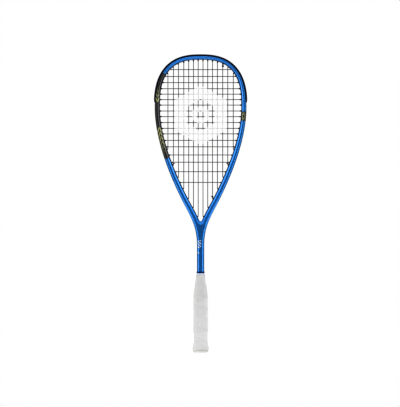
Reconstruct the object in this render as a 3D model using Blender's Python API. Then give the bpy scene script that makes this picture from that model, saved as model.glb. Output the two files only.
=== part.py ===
"""Squash racket built as separate pieces: frame shell, bumper, grommet strips, strings and handle.

The racket stands on its butt end at the origin. +Z runs along the racket to the top of the hoop,
the string bed lies in the XZ plane and +Y points out of its front. Lengths are metres.
"""

import math
from collections import namedtuple

import bmesh
import bpy
import numpy as np
from mathutils import Vector

MM = 0.001
CLEARANCE = 0.25 * MM  # gap left between neighbouring pieces

# Outer edge of the frame in the string plane, right-hand half
HOOP_TOP_Z = 684.0 * MM
HOOP_WIDEST_Z = 563.8 * MM
HOOP_HALF_WIDTH = 105.5 * MM
HOOP_SQUARENESS = 2.56  # superellipse power of the upper half of the hoop
SIDE_PULL = 63.0 * MM  # length of the curve handle below the widest point
ARM_POINT = (42.6 * MM, 350.0 * MM)  # the arm is straightest here
ARM_LEAN = (0.447, 0.894)  # its direction there
ARM_UPPER_PULL = 84.0 * MM
ARM_LOWER_PULL = 40.0 * MM
THROAT_PULL = 46.0 * MM
THROAT_START_Z = 246.4 * MM
SHAFT_HALF_WIDTH = 8.2 * MM
SHAFT_START_Z = 6.0 * MM

# Section of the frame: width in the string plane and half height square to it, against height Z
WIDTH_PROFILE = ((300, 350, 520, 575, 684), (15.0, 14.0, 12.0, 11.9, 10.2))
BEAM_PROFILE = ((250, 564, 684), (9.8, 9.3, 8.8))
OUTER_SHOULDER = 0.11  # outer bevel runs between these shares of the width
OUTER_LAND = 0.33
INNER_SHOULDER = 0.14  # inner bevel, measured from the inner edge
INNER_LAND = 0.47
OUTER_BEVEL = 2.9 * MM
INNER_BEVEL = 3.6 * MM
INNER_WALL = 2.6 * MM  # half height of the flat inner wall
SHELL = 1.5 * MM
THROAT_RADIUS = 4.0 * MM
THROAT_REACH = 8.8 * MM  # length of rim taken up by each half of the throat's fillet

# Groove round the outside that holds the strips and the strings
GROOVE_DEPTH = 3.5 * MM
GROOVE_HALF = 2.8 * MM
GROOVE_LIP = 3.1 * MM
GROOVE_END_Z = (278.0 * MM, 290.0 * MM)  # it fades in between these heights

# Strings
STRING_RADIUS = 0.625 * MM
STRING_SIDES = 4
MAIN_X = tuple(x * MM for x in (5.5, 16.4, 27.4, 38.7, 50.9, 62.5, 75.2))
CROSS_TOP_Z = 651.2 * MM
CROSS_GAPS = (15.9, 14.1, 14.0, 12.6, 12.5, 12.6, 13.6, 13.0, 13.6, 13.4, 12.6, 15.0, 14.8, 18.8,
              16.7, 21.8, 24.7)
WEAVE = 0.70 * MM  # how far each string stands off the string plane where two cross
MAIN_LANE = -1.4 * MM  # the two strings run in separate lanes along the groove
CROSS_LANE = 1.4 * MM
WIDE_LANE = 2.08 * MM  # where the cross string passes the main string's tied-off tail
LANE_DEPTH = 1.35 * MM
LANE_RAMP = 2.5 * MM
LANE_STEP = 8.0 * MM  # longest straight piece of a string in the groove
TIE_RAMP = 5.0 * MM  # longer where a tail changes sides beside another string
BEND = 1.0 * MM
TWIN = 0.72 * MM  # half the spacing of two strings that share a hole
COIL_RADIUS = 1.55 * MM
COIL_PITCH = 1.6 * MM
COIL_START = 2.0 * MM  # clear of the string's own bend
COIL_STEPS = 8  # straight pieces in one turn of a tail
TAIL = 3.5 * MM

# Mains are counted from the left and crosses from the top. These mains share a hole with a tail.
MAIN_TIES = (1, 12)  # bottom holes that take the two tails of the main string
CROSS_TIE_TOP = 11
CROSS_TIE_BOTTOM = 9
MAIN_TIE_TURNS = 1
CROSS_TIE_TURNS = 2
MAINS_MISSED = {0: 1, 14: 1, 15: 1, 16: 2, 17: 3}  # by short crosses, at either end

# Grommet barrels and the strips they stand on
HOLE_TILT = 0.12  # how far a hole leans from square towards its string
BARREL_REACH = 1.1 * MM  # how far a barrel stands out of the inner wall
BEND_ROOM = 0.7 * MM
BORE_RADIUS, BARREL_RADIUS, HOLE_RADIUS = 0.95 * MM, 1.45 * MM, 2.0 * MM
TWIN_BORE, TWIN_BARREL, TWIN_HOLE = 1.50 * MM, 2.05 * MM, 2.72 * MM
BASE_TOP = 2.35 * MM  # depths of the strip's faces below the outer edge
BASE_BOTTOM = 3.25 * MM
STRIP_HALF = 2.45 * MM
STRIP_BOTTOM_Z = 291.0 * MM
BUMPER_END_Z = 576.0 * MM
BUMPER_STAND = 2.0 * MM  # the bumper stands this far outside the frame
CHANNEL_HALF = 2.3 * MM
# Front half of the bumper's section, (depth, across) in millimetres: the foot in the groove, the
# skirt over the frame's edge, and the rail beside the string channel
BUMPER_SKIRT = ((3.25, 2.5), (-0.28, 2.85), (1.15, 6.75), (0.2, 7.1), (-1.4, 5.3))
BUMPER_RAIL = (4.0, 2.7)

# Handle
GRIP_TOP_Z = 179.0 * MM
LIP_Z = 5.2 * MM  # top of the butt cap's lip, where the wrap begins
GRIP_Z = (5.2, 12, 18, 26, 130, 144, 165, 179)
GRIP_HALF_WIDTH = (19.1, 19.7, 18.4, 16.65, 16.65, 14.9, 11.3, 10.2)
GRIP_HALF_DEPTH = (17.0, 17.3, 16.0, 14.3, 14.3, 13.8, 12.9, 12.1)
GRIP_SQUARENESS = 2.7
WRAP = 1.8 * MM
CAP_WALL = 1.3 * MM
CAP_SLEEVE_Z = 22.0 * MM
CAP_FLOOR = 3.5 * MM
CAP_FOOT = ((0.0, 13.4, 11.3), (0.9, 15.7, 13.6), (2.6, 17.7, 15.6))  # height, half width, depth
PALLET_BOTTOM_Z = 4.2 * MM
PALLET_TOP_Z = 165.0 * MM
TAPE_Z = (179.3 * MM, 182.5 * MM)
TAPE_THICKNESS = 0.70 * MM
COLLAR_Z = (182.8 * MM, 186.4 * MM)
COLLAR_THICKNESS = 0.45 * MM
SHAFT_SLOT = (8.75 * MM, 10.35 * MM)
SHAFT_SLOT_SQUARENESS = 3.0
HANDLE_SIDES = 24

# Facets
RIM_STEP = 0.5 * MM
FLATNESS = 0.13 * MM  # largest gap between a curve and its chords
LONGEST_CHORD = 32.0 * MM
THROAT_STEPS = 3
BARREL_SIDES, BORE_SIDES, HOLE_SIDES = 8, 6, 6

# Colour, roughness and metallic share of each piece
FINISHES = {
    "frame": ((0.020, 0.170, 0.470), 0.28, 0.35),
    "bumper_guard": ((0.010, 0.024, 0.060), 0.45, 0.0),
    "grommet_strip_left": ((0.012, 0.014, 0.018), 0.50, 0.0),
    "grommet_strip_right": ((0.012, 0.014, 0.018), 0.50, 0.0),
    "main_string": ((0.030, 0.030, 0.034), 0.38, 0.0),
    "cross_string": ((0.030, 0.030, 0.034), 0.38, 0.0),
    "handle_pallet_front": ((0.150, 0.150, 0.155), 0.90, 0.0),
    "handle_pallet_back": ((0.150, 0.150, 0.155), 0.90, 0.0),
    "butt_cap": ((0.650, 0.640, 0.630), 0.55, 0.0),
    "grip_wrap": ((0.720, 0.720, 0.720), 0.70, 0.0),
    "finishing_tape": ((0.680, 0.730, 0.820), 0.40, 0.0),
    "shaft_collar": ((0.020, 0.024, 0.035), 0.55, 0.0),
}
SMOOTH_ANGLE = math.radians(35)

Row = namedtuple("Row", "outer normal inner away width beam groove")
Hole = namedtuple("Hole", "bend axis exit run")


def profile(z, knots):
    """Value in metres of a (heights, values) table in millimetres."""
    return float(np.interp(z / MM, knots[0], knots[1])) * MM


def bezier(start, handle_a, handle_b, end, count=160):
    """Points of a cubic curve in the plane."""
    t = np.linspace(0.0, 1.0, count)[:, None]
    a, b, c, d = (np.array(p) for p in (start, handle_a, handle_b, end))
    return a * (1 - t) ** 3 + 3 * b * t * (1 - t) ** 2 + 3 * c * t ** 2 * (1 - t) + d * t ** 3


def outline():
    """Outer edge of the right half in the string plane, from the shaft's end to the top centre."""
    lean = np.array(ARM_LEAN)
    arm = np.array(ARM_POINT)
    shaft_top = (SHAFT_HALF_WIDTH, THROAT_START_Z)
    widest = (HOOP_HALF_WIDTH, HOOP_WIDEST_Z)
    shaft = [(SHAFT_HALF_WIDTH, SHAFT_START_Z)]
    throat = bezier(shaft_top, (SHAFT_HALF_WIDTH, THROAT_START_Z + THROAT_PULL),
                    arm - lean * ARM_LOWER_PULL, arm)
    side = bezier(arm, arm + lean * ARM_UPPER_PULL, (HOOP_HALF_WIDTH, HOOP_WIDEST_Z - SIDE_PULL),
                  widest)
    angle = np.linspace(0.0, math.pi / 2, 240)
    rise = HOOP_TOP_Z - HOOP_WIDEST_Z
    reach = ((np.cos(angle) / HOOP_HALF_WIDTH) ** HOOP_SQUARENESS
             + (np.sin(angle) / rise) ** HOOP_SQUARENESS) ** (-1 / HOOP_SQUARENESS)
    crown = np.stack((reach * np.cos(angle), HOOP_WIDEST_Z + reach * np.sin(angle)), axis=1)
    return np.vstack((shaft, throat, side[1:], crown[1:]))


class Rim:
    """The frame's outer edge on the right, addressed by distance along it from the shaft's end."""

    def __init__(self):
        path = outline()
        steps = np.hypot(*np.diff(path, axis=0).T)
        run = np.concatenate(([0.0], np.cumsum(steps)))
        self.length = float(run[-1])
        self.run = np.linspace(0.0, self.length, int(self.length / RIM_STEP) + 1)
        self.x = np.interp(self.run, run, path[:, 0])
        self.z = np.interp(self.run, run, path[:, 1])
        self.x[-1] = 0.0
        dx, dz = np.gradient(self.x, self.run), np.gradient(self.z, self.run)
        size = np.hypot(dx, dz)
        self.nx, self.nz = dz / size, -dx / size
        self.nx[-1], self.nz[-1] = 0.0, 1.0
        turn = np.abs(np.gradient(np.unwrap(np.arctan2(self.nz, self.nx)), self.run))
        self.bend = np.convolve(turn, np.ones(9) / 9, mode="same")

    def point(self, run):
        return Vector((np.interp(run, self.run, self.x), 0.0, np.interp(run, self.run, self.z)))

    def normal(self, run):
        """Unit vector square to the edge, pointing out of the racket."""
        x, z = np.interp(run, self.run, self.nx), np.interp(run, self.run, self.nz)
        return Vector((x, 0.0, z)).normalized()

    def at_height(self, z):
        """Distance along the rim at which its outer edge reaches the height z."""
        return float(np.interp(z, self.z, self.run))

    def width(self, run):
        return profile(self.point(run).z, WIDTH_PROFILE)

    def beam(self, run):
        return profile(self.point(run).z, BEAM_PROFILE)

    def below(self, run, depth, across=0.0):
        """Point at a depth under the outer edge, shifted across the racket's thickness."""
        return self.point(run) - self.normal(run) * depth + Vector((0.0, across, 0.0))

    def nearest(self, point):
        return float(self.run[np.argmin((self.x - point.x) ** 2 + (self.z - point.z) ** 2)])

    def stations(self, start, end):
        """Distances from start to end, closer together where the rim bends more."""
        run = np.linspace(start, end, 400)
        bend = np.interp(run, self.run, self.bend)
        density = np.maximum(np.sqrt(bend / (8 * FLATNESS)), 1 / LONGEST_CHORD)
        total = np.concatenate(([0.0], np.cumsum((density[1:] + density[:-1]) / 2 * np.diff(run))))
        count = max(1, math.ceil(total[-1]))
        return [float(r) for r in np.interp(np.linspace(0, total[-1], count + 1), total, run)]


def mesh_object(name, verts, faces):
    """New object from points and faces, with its faces turned outwards."""
    mesh = bpy.data.meshes.new(name)
    mesh.from_pydata([tuple(v) for v in verts], [], faces)
    shape = bmesh.new()
    shape.from_mesh(mesh)
    bmesh.ops.triangulate(shape, faces=[f for f in shape.faces if len(f.verts) > 4])
    bmesh.ops.recalc_face_normals(shape, faces=shape.faces[:])
    shape.to_mesh(mesh)
    shape.free()
    thing = bpy.data.objects.new(name, mesh)
    bpy.context.scene.collection.objects.link(thing)
    return thing


def loft(rings):
    """Points and faces of a closed skin over rings of equal size, capped at both ends."""
    size = len(rings[0])
    verts = [p for ring in rings for p in ring]
    faces = [tuple(range(size))]
    for row in range(len(rings) - 1):
        for k in range(size):
            a, b = row * size + k, row * size + (k + 1) % size
            faces.append((a, b, b + size, a + size))
    faces.append(tuple(range((len(rings) - 1) * size, len(rings) * size)))
    return verts, faces


def gather(parts):
    """One list of points and faces from several."""
    verts, faces = [], []
    for part_verts, part_faces in parts:
        start = len(verts)
        verts.extend(part_verts)
        faces.extend(tuple(start + i for i in face) for face in part_faces)
    return verts, faces


def boolean(thing, tool, operation):
    """Cut or join a hidden helper object with a live modifier."""
    tool.hide_render = True
    tool.display_type = 'WIRE'
    step = thing.modifiers.new(tool.name, 'BOOLEAN')
    step.operation = operation
    step.solver = 'EXACT'
    step.object = tool


def prism(start, end, radius, sides):
    """Points and faces of a straight bar between two points in the string plane."""
    along = (end - start).normalized()
    across = Vector((-along.z, 0.0, along.x))
    up = Vector((0.0, 1.0, 0.0))
    angles = [2 * math.pi * (k + 0.5) / sides for k in range(sides)]
    rim = [across * (radius * math.cos(a)) + up * (radius * math.sin(a)) for a in angles]
    return loft([[start + r for r in rim], [end + r for r in rim]])


# ---- frame shell ---------------------------------------------------------------------------

def throat_fit(rim):
    """Place along the rim and centre height where the throat's fillet meets the inner edge."""
    reach = np.interp(rim.z / MM, *WIDTH_PROFILE) * MM + THROAT_RADIUS
    centre_x = rim.x - rim.nx * reach
    arm = (rim.z > THROAT_START_Z + 2 * THROAT_RADIUS) & (rim.z < HOOP_WIDEST_Z)
    run = float(np.interp(0.0, centre_x[arm], rim.run[arm]))
    centre_z = rim.point(run).z - rim.normal(run).z * (rim.width(run) + THROAT_RADIUS)
    return run, centre_z


def frame_rows(rim):
    """Section rows of the right half from the shaft's end to the top, and the throat row's index."""
    def row(run, inner=None, away=None):
        z = rim.point(run).z
        groove = GROOVE_DEPTH * float(np.interp(z, GROOVE_END_Z, (0.0, 1.0)))
        return Row(rim.point(run), rim.normal(run), inner, away, rim.width(run), rim.beam(run),
                   groove)

    meet, centre_z = throat_fit(rim)
    lean = math.atan2(rim.normal(meet).x, -rim.normal(meet).z)
    throat = meet - THROAT_REACH
    fade = [rim.at_height(z) for z in GROOVE_END_Z]
    below = [0.0] + rim.stations(rim.at_height(THROAT_START_Z), fade[0]) + [fade[1], throat]
    rows = [row(run) for run in below[:-1]]
    apex = len(rows)
    for step in range(THROAT_STEPS):
        turn = lean * step / THROAT_STEPS
        away = Vector((math.sin(turn), 0.0, -math.cos(turn)))
        inner = Vector((0.0, 0.0, centre_z)) + away * THROAT_RADIUS
        rows.append(row(throat + (meet - throat) * step / THROAT_STEPS, inner, away))
    for run in rim.stations(meet, rim.length):
        rows.append(row(run, rim.below(run, rim.width(run)), rim.normal(run)))
    return rows, apex


def outside_section(row):
    """Outer and inner corner points of the shell's outside, front half, groove or wall first."""
    outer = [(row.groove, GROOVE_HALF), (0.0, GROOVE_LIP),
             (OUTER_SHOULDER * row.width, row.beam - OUTER_BEVEL),
             (OUTER_LAND * row.width, row.beam)]
    inner = [(0.0, INNER_WALL), (INNER_SHOULDER * row.width, row.beam - INNER_BEVEL),
             (INNER_LAND * row.width, row.beam)]
    return outer, inner


def inside_section(row):
    """The same corners for the hollow inside the shell."""
    wall = row.groove + SHELL
    top = row.beam - 1.1 * SHELL
    outer = [(wall, GROOVE_LIP + 0.2 * SHELL), (max(OUTER_LAND * row.width + 0.4 * SHELL, wall), top)]
    inner = [(0.9 * SHELL, INNER_WALL - 0.2 * SHELL),
             (INNER_SHOULDER * row.width + 0.7 * SHELL, row.beam - INNER_BEVEL - 0.5 * SHELL),
             (INNER_LAND * row.width - 0.2 * SHELL, top)]
    return outer, inner


def ring_points(row, section):
    """Closed ring of one row; below the throat it is a chain that ends on the centre line."""
    outer, inner = section(row)
    up = Vector((0.0, 1.0, 0.0))

    def outer_point(depth, across):
        return row.outer - row.normal * depth + up * across

    def inner_point(depth, across):
        return row.inner + row.away * depth + up * across

    land = outer[-1][1]
    front = [outer_point(d, v) for d, v in reversed(outer)]
    back = [outer_point(d, -v) for d, v in outer]
    if row.inner is None:
        height = front[0].z
        return [Vector((0.0, land, height))] + front + back + [Vector((0.0, -land, height))]
    rest_back = [inner_point(d, -v) for d, v in reversed(inner)]
    rest_front = [inner_point(d, v) for d, v in inner]
    return [rest_front[-1]] + front + back + rest_back + rest_front[:-1]


def half_skin(rows, apex, section):
    """Points, faces and first ring of one half of the shell's outside or inside."""
    verts, faces, rings = [], [], []
    for row in rows:
        points = ring_points(row, section)
        rings.append(range(len(verts), len(verts) + len(points)))
        verts.extend(points)
    chain = len(rings[0])
    for index in range(len(rings) - 1):
        low, high = rings[index], rings[index + 1]
        count = chain - 1 if index < apex else len(low)
        for k in range(count):
            j = (k + 1) % len(high) if index >= apex else k + 1
            faces.append((low[k], low[j], high[j], high[k]))
    return verts, faces, list(rings[0])


def mirrored(verts, faces):
    """Add the left half; points on the centre line are shared."""
    twin = []
    verts = list(verts)
    for index in range(len(verts)):
        if abs(verts[index].x) < 1e-7:
            verts[index].x = 0.0
            twin.append(index)
        else:
            twin.append(len(verts))
            verts.append(Vector((-verts[index].x, verts[index].y, verts[index].z)))
    return verts, faces + [tuple(twin[i] for i in reversed(face)) for face in faces]


def build_frame(rim, holes):
    """Hollow shell, open at the shaft's end, drilled for the strings."""
    rows, apex = frame_rows(rim)
    verts, faces, outer_ring = half_skin(rows, apex, outside_section)
    hollow_verts, hollow_faces, inner_ring = half_skin(rows, apex, inside_section)
    start = len(verts)
    verts += hollow_verts
    faces += [tuple(start + i for i in reversed(face)) for face in hollow_faces]
    faces.append(tuple(outer_ring) + tuple(start + i for i in reversed(inner_ring)))
    frame = mesh_object("frame", *mirrored(verts, faces))
    drills = []
    for hole, twin in holes:
        radius = TWIN_HOLE if twin else HOLE_RADIUS
        inside = hole.bend + hole.axis * 0.5 * BEND_ROOM
        outside = hole.exit + hole.axis * 0.2 * LANE_DEPTH
        drills.append(prism(inside, outside, radius, HOLE_SIDES))
    boolean(frame, mesh_object("string_drills", *gather(drills)), 'DIFFERENCE')


# ---- string holes --------------------------------------------------------------------------

def drill(rim, run, pull):
    """Hole that starts in front of the rim at `run` and leans towards the string's pull."""
    normal = rim.normal(run)
    bend = rim.below(run, rim.width(run) + BARREL_REACH + BEND_ROOM)
    axis = (normal + pull * HOLE_TILT).normalized()
    reach = rim.width(run) / axis.dot(normal)
    for _ in range(4):
        point = bend + axis * reach
        exit_run = rim.nearest(point)
        depth = (rim.point(exit_run) - point).dot(rim.normal(exit_run))
        reach += (depth - LANE_DEPTH) / axis.dot(rim.normal(exit_run))
    return Hole(bend, axis, bend + axis * reach, exit_run)


def string_holes(rim):
    """Right-hand holes: seven main tops, seven main bottoms and eighteen cross ends."""
    inset = np.interp(rim.z / MM, *WIDTH_PROFILE) * MM + BARREL_REACH + BEND_ROOM
    line_x, line_z = rim.x - rim.nx * inset, rim.z - rim.nz * inset
    widest = rim.at_height(HOOP_WIDEST_Z)
    arm = (rim.run > throat_fit(rim)[0] - THROAT_RADIUS) & (rim.run < widest)
    crown = rim.run >= widest
    tops, bottoms, sides = [], [], []
    for x in MAIN_X:
        run = float(np.interp(-x, -line_x[crown], rim.run[crown]))
        tops.append(drill(rim, run, Vector((0.0, 0.0, 1.0))))
        run = float(np.interp(x, line_x[arm], rim.run[arm]))
        bottoms.append(drill(rim, run, Vector((0.0, 0.0, -1.0))))
    above = arm | crown
    for z in cross_heights():
        run = float(np.interp(z, line_z[above], rim.run[above]))
        sides.append(drill(rim, run, Vector((1.0, 0.0, 0.0))))
    return tops, bottoms, sides


def cross_heights():
    """Heights of the cross strings, top first."""
    return [CROSS_TOP_Z - sum(CROSS_GAPS[:k]) * MM for k in range(len(CROSS_GAPS) + 1)]


def flip(value, side):
    """Vector moved to the given side of the centre line."""
    return Vector((value.x * side, value.y, value.z))


def flip_hole(hole, side):
    return Hole(flip(hole.bend, side), flip(hole.axis, side), flip(hole.exit, side), hole.run)


# ---- strings -------------------------------------------------------------------------------

def rounded(path, step=math.radians(45)):
    """Plain points from (point, radius) corners, each corner eased by an arc of its radius."""
    points = [path[0][0]]
    for (before, _), (corner, radius), (after, _) in zip(path, path[1:], path[2:]):
        arrive, leave = (corner - before).normalized(), (after - corner).normalized()
        turn = arrive.angle(leave, 0.0)
        if radius == 0.0 or turn < math.radians(20):
            points.append(corner)
            continue
        room = 0.45 * min((corner - before).length, (after - corner).length)
        ease = min(radius * math.tan(turn / 2), room)
        swing = ease / math.tan(turn / 2)
        hub = corner + (leave - arrive).normalized() * (swing / math.cos(turn / 2))
        first, last = corner - arrive * ease - hub, corner + leave * ease - hub
        pieces = max(1, math.ceil(turn / step))
        for k in range(pieces + 1):
            share = k / pieces
            blend = first * math.sin((1 - share) * turn) + last * math.sin(share * turn)
            points.append(hub + blend / math.sin(turn))
    points.append(path[-1][0])
    return points


def string_tube(points, radius, sides):
    """Points and faces of a mitred tube along a path."""
    heads = [(b - a).normalized() for a, b in zip(points, points[1:])]
    side = Vector((0.0, 1.0, 0.0)).cross(heads[0])
    side = (side if side.length > 0.1 else Vector((1.0, 0.0, 0.0)).cross(heads[0])).normalized()
    rings = []
    for index, point in enumerate(points):
        before, after = heads[max(index - 1, 0)], heads[min(index, len(heads) - 1)]
        other = before.cross(side)
        mitre = (before + after).normalized()
        ring = []
        for k in range(sides):
            angle = 2 * math.pi * k / sides
            spoke = side * (radius * math.cos(angle)) + other * (radius * math.sin(angle))
            ring.append(point + spoke - before * (spoke.dot(mitre) / before.dot(mitre)))
        rings.append(ring)
        side = (before.rotation_difference(after) @ side).normalized()
    return loft(rings)


def lane(rim, side, start_run, end_run, across, ramp=LANE_RAMP):
    """Corners of a string that runs along the groove between two holes on one side."""
    direction = 1.0 if end_run > start_run else -1.0
    first, last = start_run + direction * ramp, end_run - direction * LANE_RAMP
    count = max(1, math.ceil(abs(last - first) / LANE_STEP))
    stops = [first + (last - first) * k / count for k in range(count + 1)]
    return [(flip(rim.below(run, LANE_DEPTH, across), side), 0.0) for run in stops]


def over_the_top(rim, run, across):
    """Corners of the loop that crosses the racket's centre line at the top."""
    climb = [run + LANE_RAMP, rim.length]
    right = [(rim.below(r, LANE_DEPTH, across), 0.0) for r in climb]
    left = [(flip(point, -1.0), radius) for point, radius in right]
    return left + right[-2::-1]


def through(hole, across=0.0):
    """Inner and outer corner of a string in a hole, shifted across the racket's thickness."""
    shift = Vector((0.0, across, 0.0))
    return [(hole.bend + shift, BEND), (hole.exit + shift, BEND)]


def tie_off(rim, shared, toward, turns, far_run, across, ramp=LANE_RAMP):
    """Tail end first: wound beside a hole's own string, out through it and along the groove."""
    own = through(shared, -TWIN)[0][0]
    corners = coil(own, toward, Vector((0.0, 1.0, 0.0)), turns)[::-1]
    return corners + through(shared, TWIN) + lane(rim, 1.0, shared.run, far_run, across, ramp)


def coil(start, toward, spoke, turns):
    """Corners of a tail wound round the string that runs from `start` toward its first crossing."""
    inward = (toward - start).normalized()
    spoke = (spoke - inward * spoke.dot(inward)).normalized()
    other = inward.cross(spoke)
    start = start + inward * COIL_START
    corners = [(start + spoke * COIL_RADIUS, 0.0)]
    for k in range(1, turns * COIL_STEPS + 1):
        turn = 2 * math.pi * k / COIL_STEPS
        height = COIL_PITCH * k / COIL_STEPS
        arm = spoke * math.cos(turn) + other * math.sin(turn)
        corners.append((start + inward * height + arm * COIL_RADIUS, 0.0))
    corners.append((corners[-1][0] + other * TAIL, 0.0))
    return corners


def main_corners(rim, tops, bottoms):
    """The main string: fourteen runs joined by loops in the groove, both ends tied off."""
    xs = main_positions()

    def hole(holes, i):
        side = 1.0 if xs[i] > 0 else -1.0
        return flip_hole(holes[MAIN_X.index(abs(xs[i]))], side), side

    def tail(i, neighbour):
        """Tie-off of the outermost main in the hole of its neighbour, tail end first."""
        (shared, side), (far, _) = hole(bottoms, neighbour), hole(bottoms, i)
        toward = crossing(neighbour, crosses_of(neighbour)[-1])
        corners = tie_off(rim, flip_hole(shared, side), flip(toward, side), MAIN_TIE_TURNS,
                          far.run, MAIN_LANE, TIE_RAMP)
        return [(flip(point, side), radius) for point, radius in corners]

    def end(holes, i, outward):
        """Corners at one end of a run, in the order they are passed."""
        corners = through(hole(holes, i)[0], -TWIN if shared_hole(holes is tops, i) else 0.0)
        return corners if outward else corners[::-1]

    def run_corners(i, downward):
        points = [crossing(i, j) for j in crosses_of(i)]
        return [(p, 0.0) for p in (points if downward else points[::-1])]

    corners = tail(0, MAIN_TIES[0])
    for i in range(len(xs)):
        downward = i % 2 == 1
        corners += end(tops if downward else bottoms, i, False)
        corners += run_corners(i, downward)
        corners += end(bottoms if downward else tops, i, True)
        if i == len(xs) - 1:
            break
        holes = bottoms if downward else tops
        (here, side), (there, _) = hole(holes, i), hole(holes, i + 1)
        if xs[i] < 0 < xs[i + 1]:
            corners += over_the_top(rim, here.run, MAIN_LANE)
        else:
            corners += lane(rim, side, here.run, there.run, MAIN_LANE)
    return corners + tail(len(xs) - 1, MAIN_TIES[1])[::-1]


def shared_hole(at_top, i):
    """Whether a tail is tied off in the hole of main i."""
    return i == CROSS_TIE_TOP if at_top else i in (*MAIN_TIES, CROSS_TIE_BOTTOM)


def main_positions():
    return [-x for x in reversed(MAIN_X)] + list(MAIN_X)


def crosses_of(i):
    """Cross strings passed by a main, top first."""
    return [j for j in range(len(CROSS_GAPS) + 1) if crossed_mains(j)[0] <= i <= crossed_mains(j)[1]]


def crossing(i, j, side=1.0):
    """Centre of the main (side 1) or the cross string (side -1) where main i and cross j meet."""
    lift = side * WEAVE * (-1) ** (i + j)
    return Vector((main_positions()[i], lift, cross_heights()[j]))


def crossed_mains(j):
    """First and last main passed by a cross string."""
    missed = MAINS_MISSED.get(j, 0)
    return missed, 2 * len(MAIN_X) - 1 - missed


def cross_corners(rim, tops, bottoms, sides):
    """The cross string: eighteen runs woven through the mains, both ends tied off on the right."""
    right = len(MAIN_X)  # index of the first main on the right
    tail_run = bottoms[MAIN_TIES[1] - right].run
    corners = tie_off(rim, tops[CROSS_TIE_TOP - right], crossing(CROSS_TIE_TOP, 0),
                      CROSS_TIE_TURNS, sides[0].run, CROSS_LANE)
    for j in range(len(sides)):
        first, last = crossed_mains(j)
        leftward = j % 2 == 0
        points = [crossing(i, j, -1.0) for i in range(first, last + 1)]
        run = [(p, 0.0) for p in (points[::-1] if leftward else points)]
        start_side = 1.0 if leftward else -1.0
        here, there = flip_hole(sides[j], start_side), flip_hole(sides[j], -start_side)
        corners += [(here.exit, BEND), (here.bend, BEND)] + run
        corners += [(there.bend, BEND), (there.exit, BEND)]
        if j < len(sides) - 1:
            passes_tail = -start_side > 0 and sides[j].run > tail_run > sides[j + 1].run
            across = WIDE_LANE if passes_tail else CROSS_LANE
            corners += lane(rim, -start_side, sides[j].run, sides[j + 1].run, across)
    end = tie_off(rim, bottoms[CROSS_TIE_BOTTOM - right],
                  crossing(CROSS_TIE_BOTTOM, len(sides) - 1), CROSS_TIE_TURNS, sides[-1].run,
                  CROSS_LANE)
    return corners + end[::-1]


def build_strings(rim, tops, bottoms, sides):
    for name, corners in (("main_string", main_corners(rim, tops, bottoms)),
                          ("cross_string", cross_corners(rim, tops, bottoms, sides))):
        mesh_object(name, *string_tube(rounded(corners), STRING_RADIUS, STRING_SIDES))


# ---- grommet strips and bumper -------------------------------------------------------------

def sweep_section(rim, frames, section):
    """Rings of a section of (depth, across) points carried along (run, side) frames."""
    return [[flip(rim.below(run, d, v), side) for d, v in section] for run, side in frames]


def add_barrels(rim, strip, holes):
    """Join a barrel for every hole to a strip and bore them all out."""
    barrels, bores = [], []
    for hole, twin in holes:
        cosine = hole.axis.dot(flip(rim.normal(hole.run), math.copysign(1.0, hole.exit.x)))
        tip = hole.bend + hole.axis * BEND_ROOM
        root = hole.exit - hole.axis * ((0.5 * (BASE_TOP + BASE_BOTTOM) - LANE_DEPTH) / cosine)
        above = hole.exit - hole.axis * (0.3 * (BASE_TOP - LANE_DEPTH) / cosine)
        outer, inner = (TWIN_BARREL, TWIN_BORE) if twin else (BARREL_RADIUS, BORE_RADIUS)
        sides = BARREL_SIDES if twin else BORE_SIDES
        barrels.append(prism(tip, root, outer, BARREL_SIDES))
        bores.append(prism(tip - hole.axis * 0.5 * BEND_ROOM, above, inner, sides))
    boolean(strip, mesh_object(strip.name + "_barrels", *gather(barrels)), 'UNION')
    boolean(strip, mesh_object(strip.name + "_bores", *gather(bores)), 'DIFFERENCE')


def build_strip(rim, side, name, holes):
    """Flat strip on the groove's floor along one side."""
    section = [(BASE_BOTTOM, -STRIP_HALF), (BASE_TOP, -STRIP_HALF), (BASE_TOP, STRIP_HALF),
               (BASE_BOTTOM, STRIP_HALF)]
    start = rim.at_height(STRIP_BOTTOM_Z)
    end = rim.at_height(BUMPER_END_Z) - 2 * CLEARANCE
    runs = shell_runs(rim, start, end)
    strip = mesh_object(name, *loft(sweep_section(rim, [(r, side) for r in runs], section)))
    add_barrels(rim, strip, holes)


def shell_runs(rim, start, end):
    """The shell's own stations between two places, so that neighbours share its facets."""
    meet, _ = throat_fit(rim)
    throat = meet - THROAT_REACH
    runs = [throat + (meet - throat) * k / THROAT_STEPS for k in range(THROAT_STEPS)]
    runs += rim.stations(meet, rim.length)
    near = 1.0 * MM
    return [start] + [r for r in runs if start + near < r < end - near] + [end]


def build_bumper(rim, holes):
    """Guard over the top: a channel for the strings between two rails that cover the edge."""
    half = [(depth * MM, across * MM) for depth, across in BUMPER_SKIRT]
    half += [(-BUMPER_STAND, across * MM) for across in BUMPER_RAIL]
    half += [(BASE_TOP, CHANNEL_HALF)]
    section = half + [(d, -v) for d, v in reversed(half)]
    runs = shell_runs(rim, rim.at_height(BUMPER_END_Z), rim.length)
    frames = [(r, 1.0) for r in runs] + [(r, -1.0) for r in reversed(runs[:-1])]
    bumper = mesh_object("bumper_guard", *loft(sweep_section(rim, frames, section)))
    add_barrels(rim, bumper, holes)


# ---- handle --------------------------------------------------------------------------------

def oval(half_x, half_y, z, power, inset=0.0):
    """Level ring in the shape of a rounded rectangle."""
    ring = []
    for k in range(HANDLE_SIDES):
        angle = 2 * math.pi * (k + 0.5) / HANDLE_SIDES
        c, s = math.cos(angle), math.sin(angle)
        reach = (abs(c) ** power + abs(s) ** power) ** (-1 / power)
        ring.append(Vector(((half_x - inset) * reach * c, (half_y - inset) * reach * s, z)))
    return ring


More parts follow.
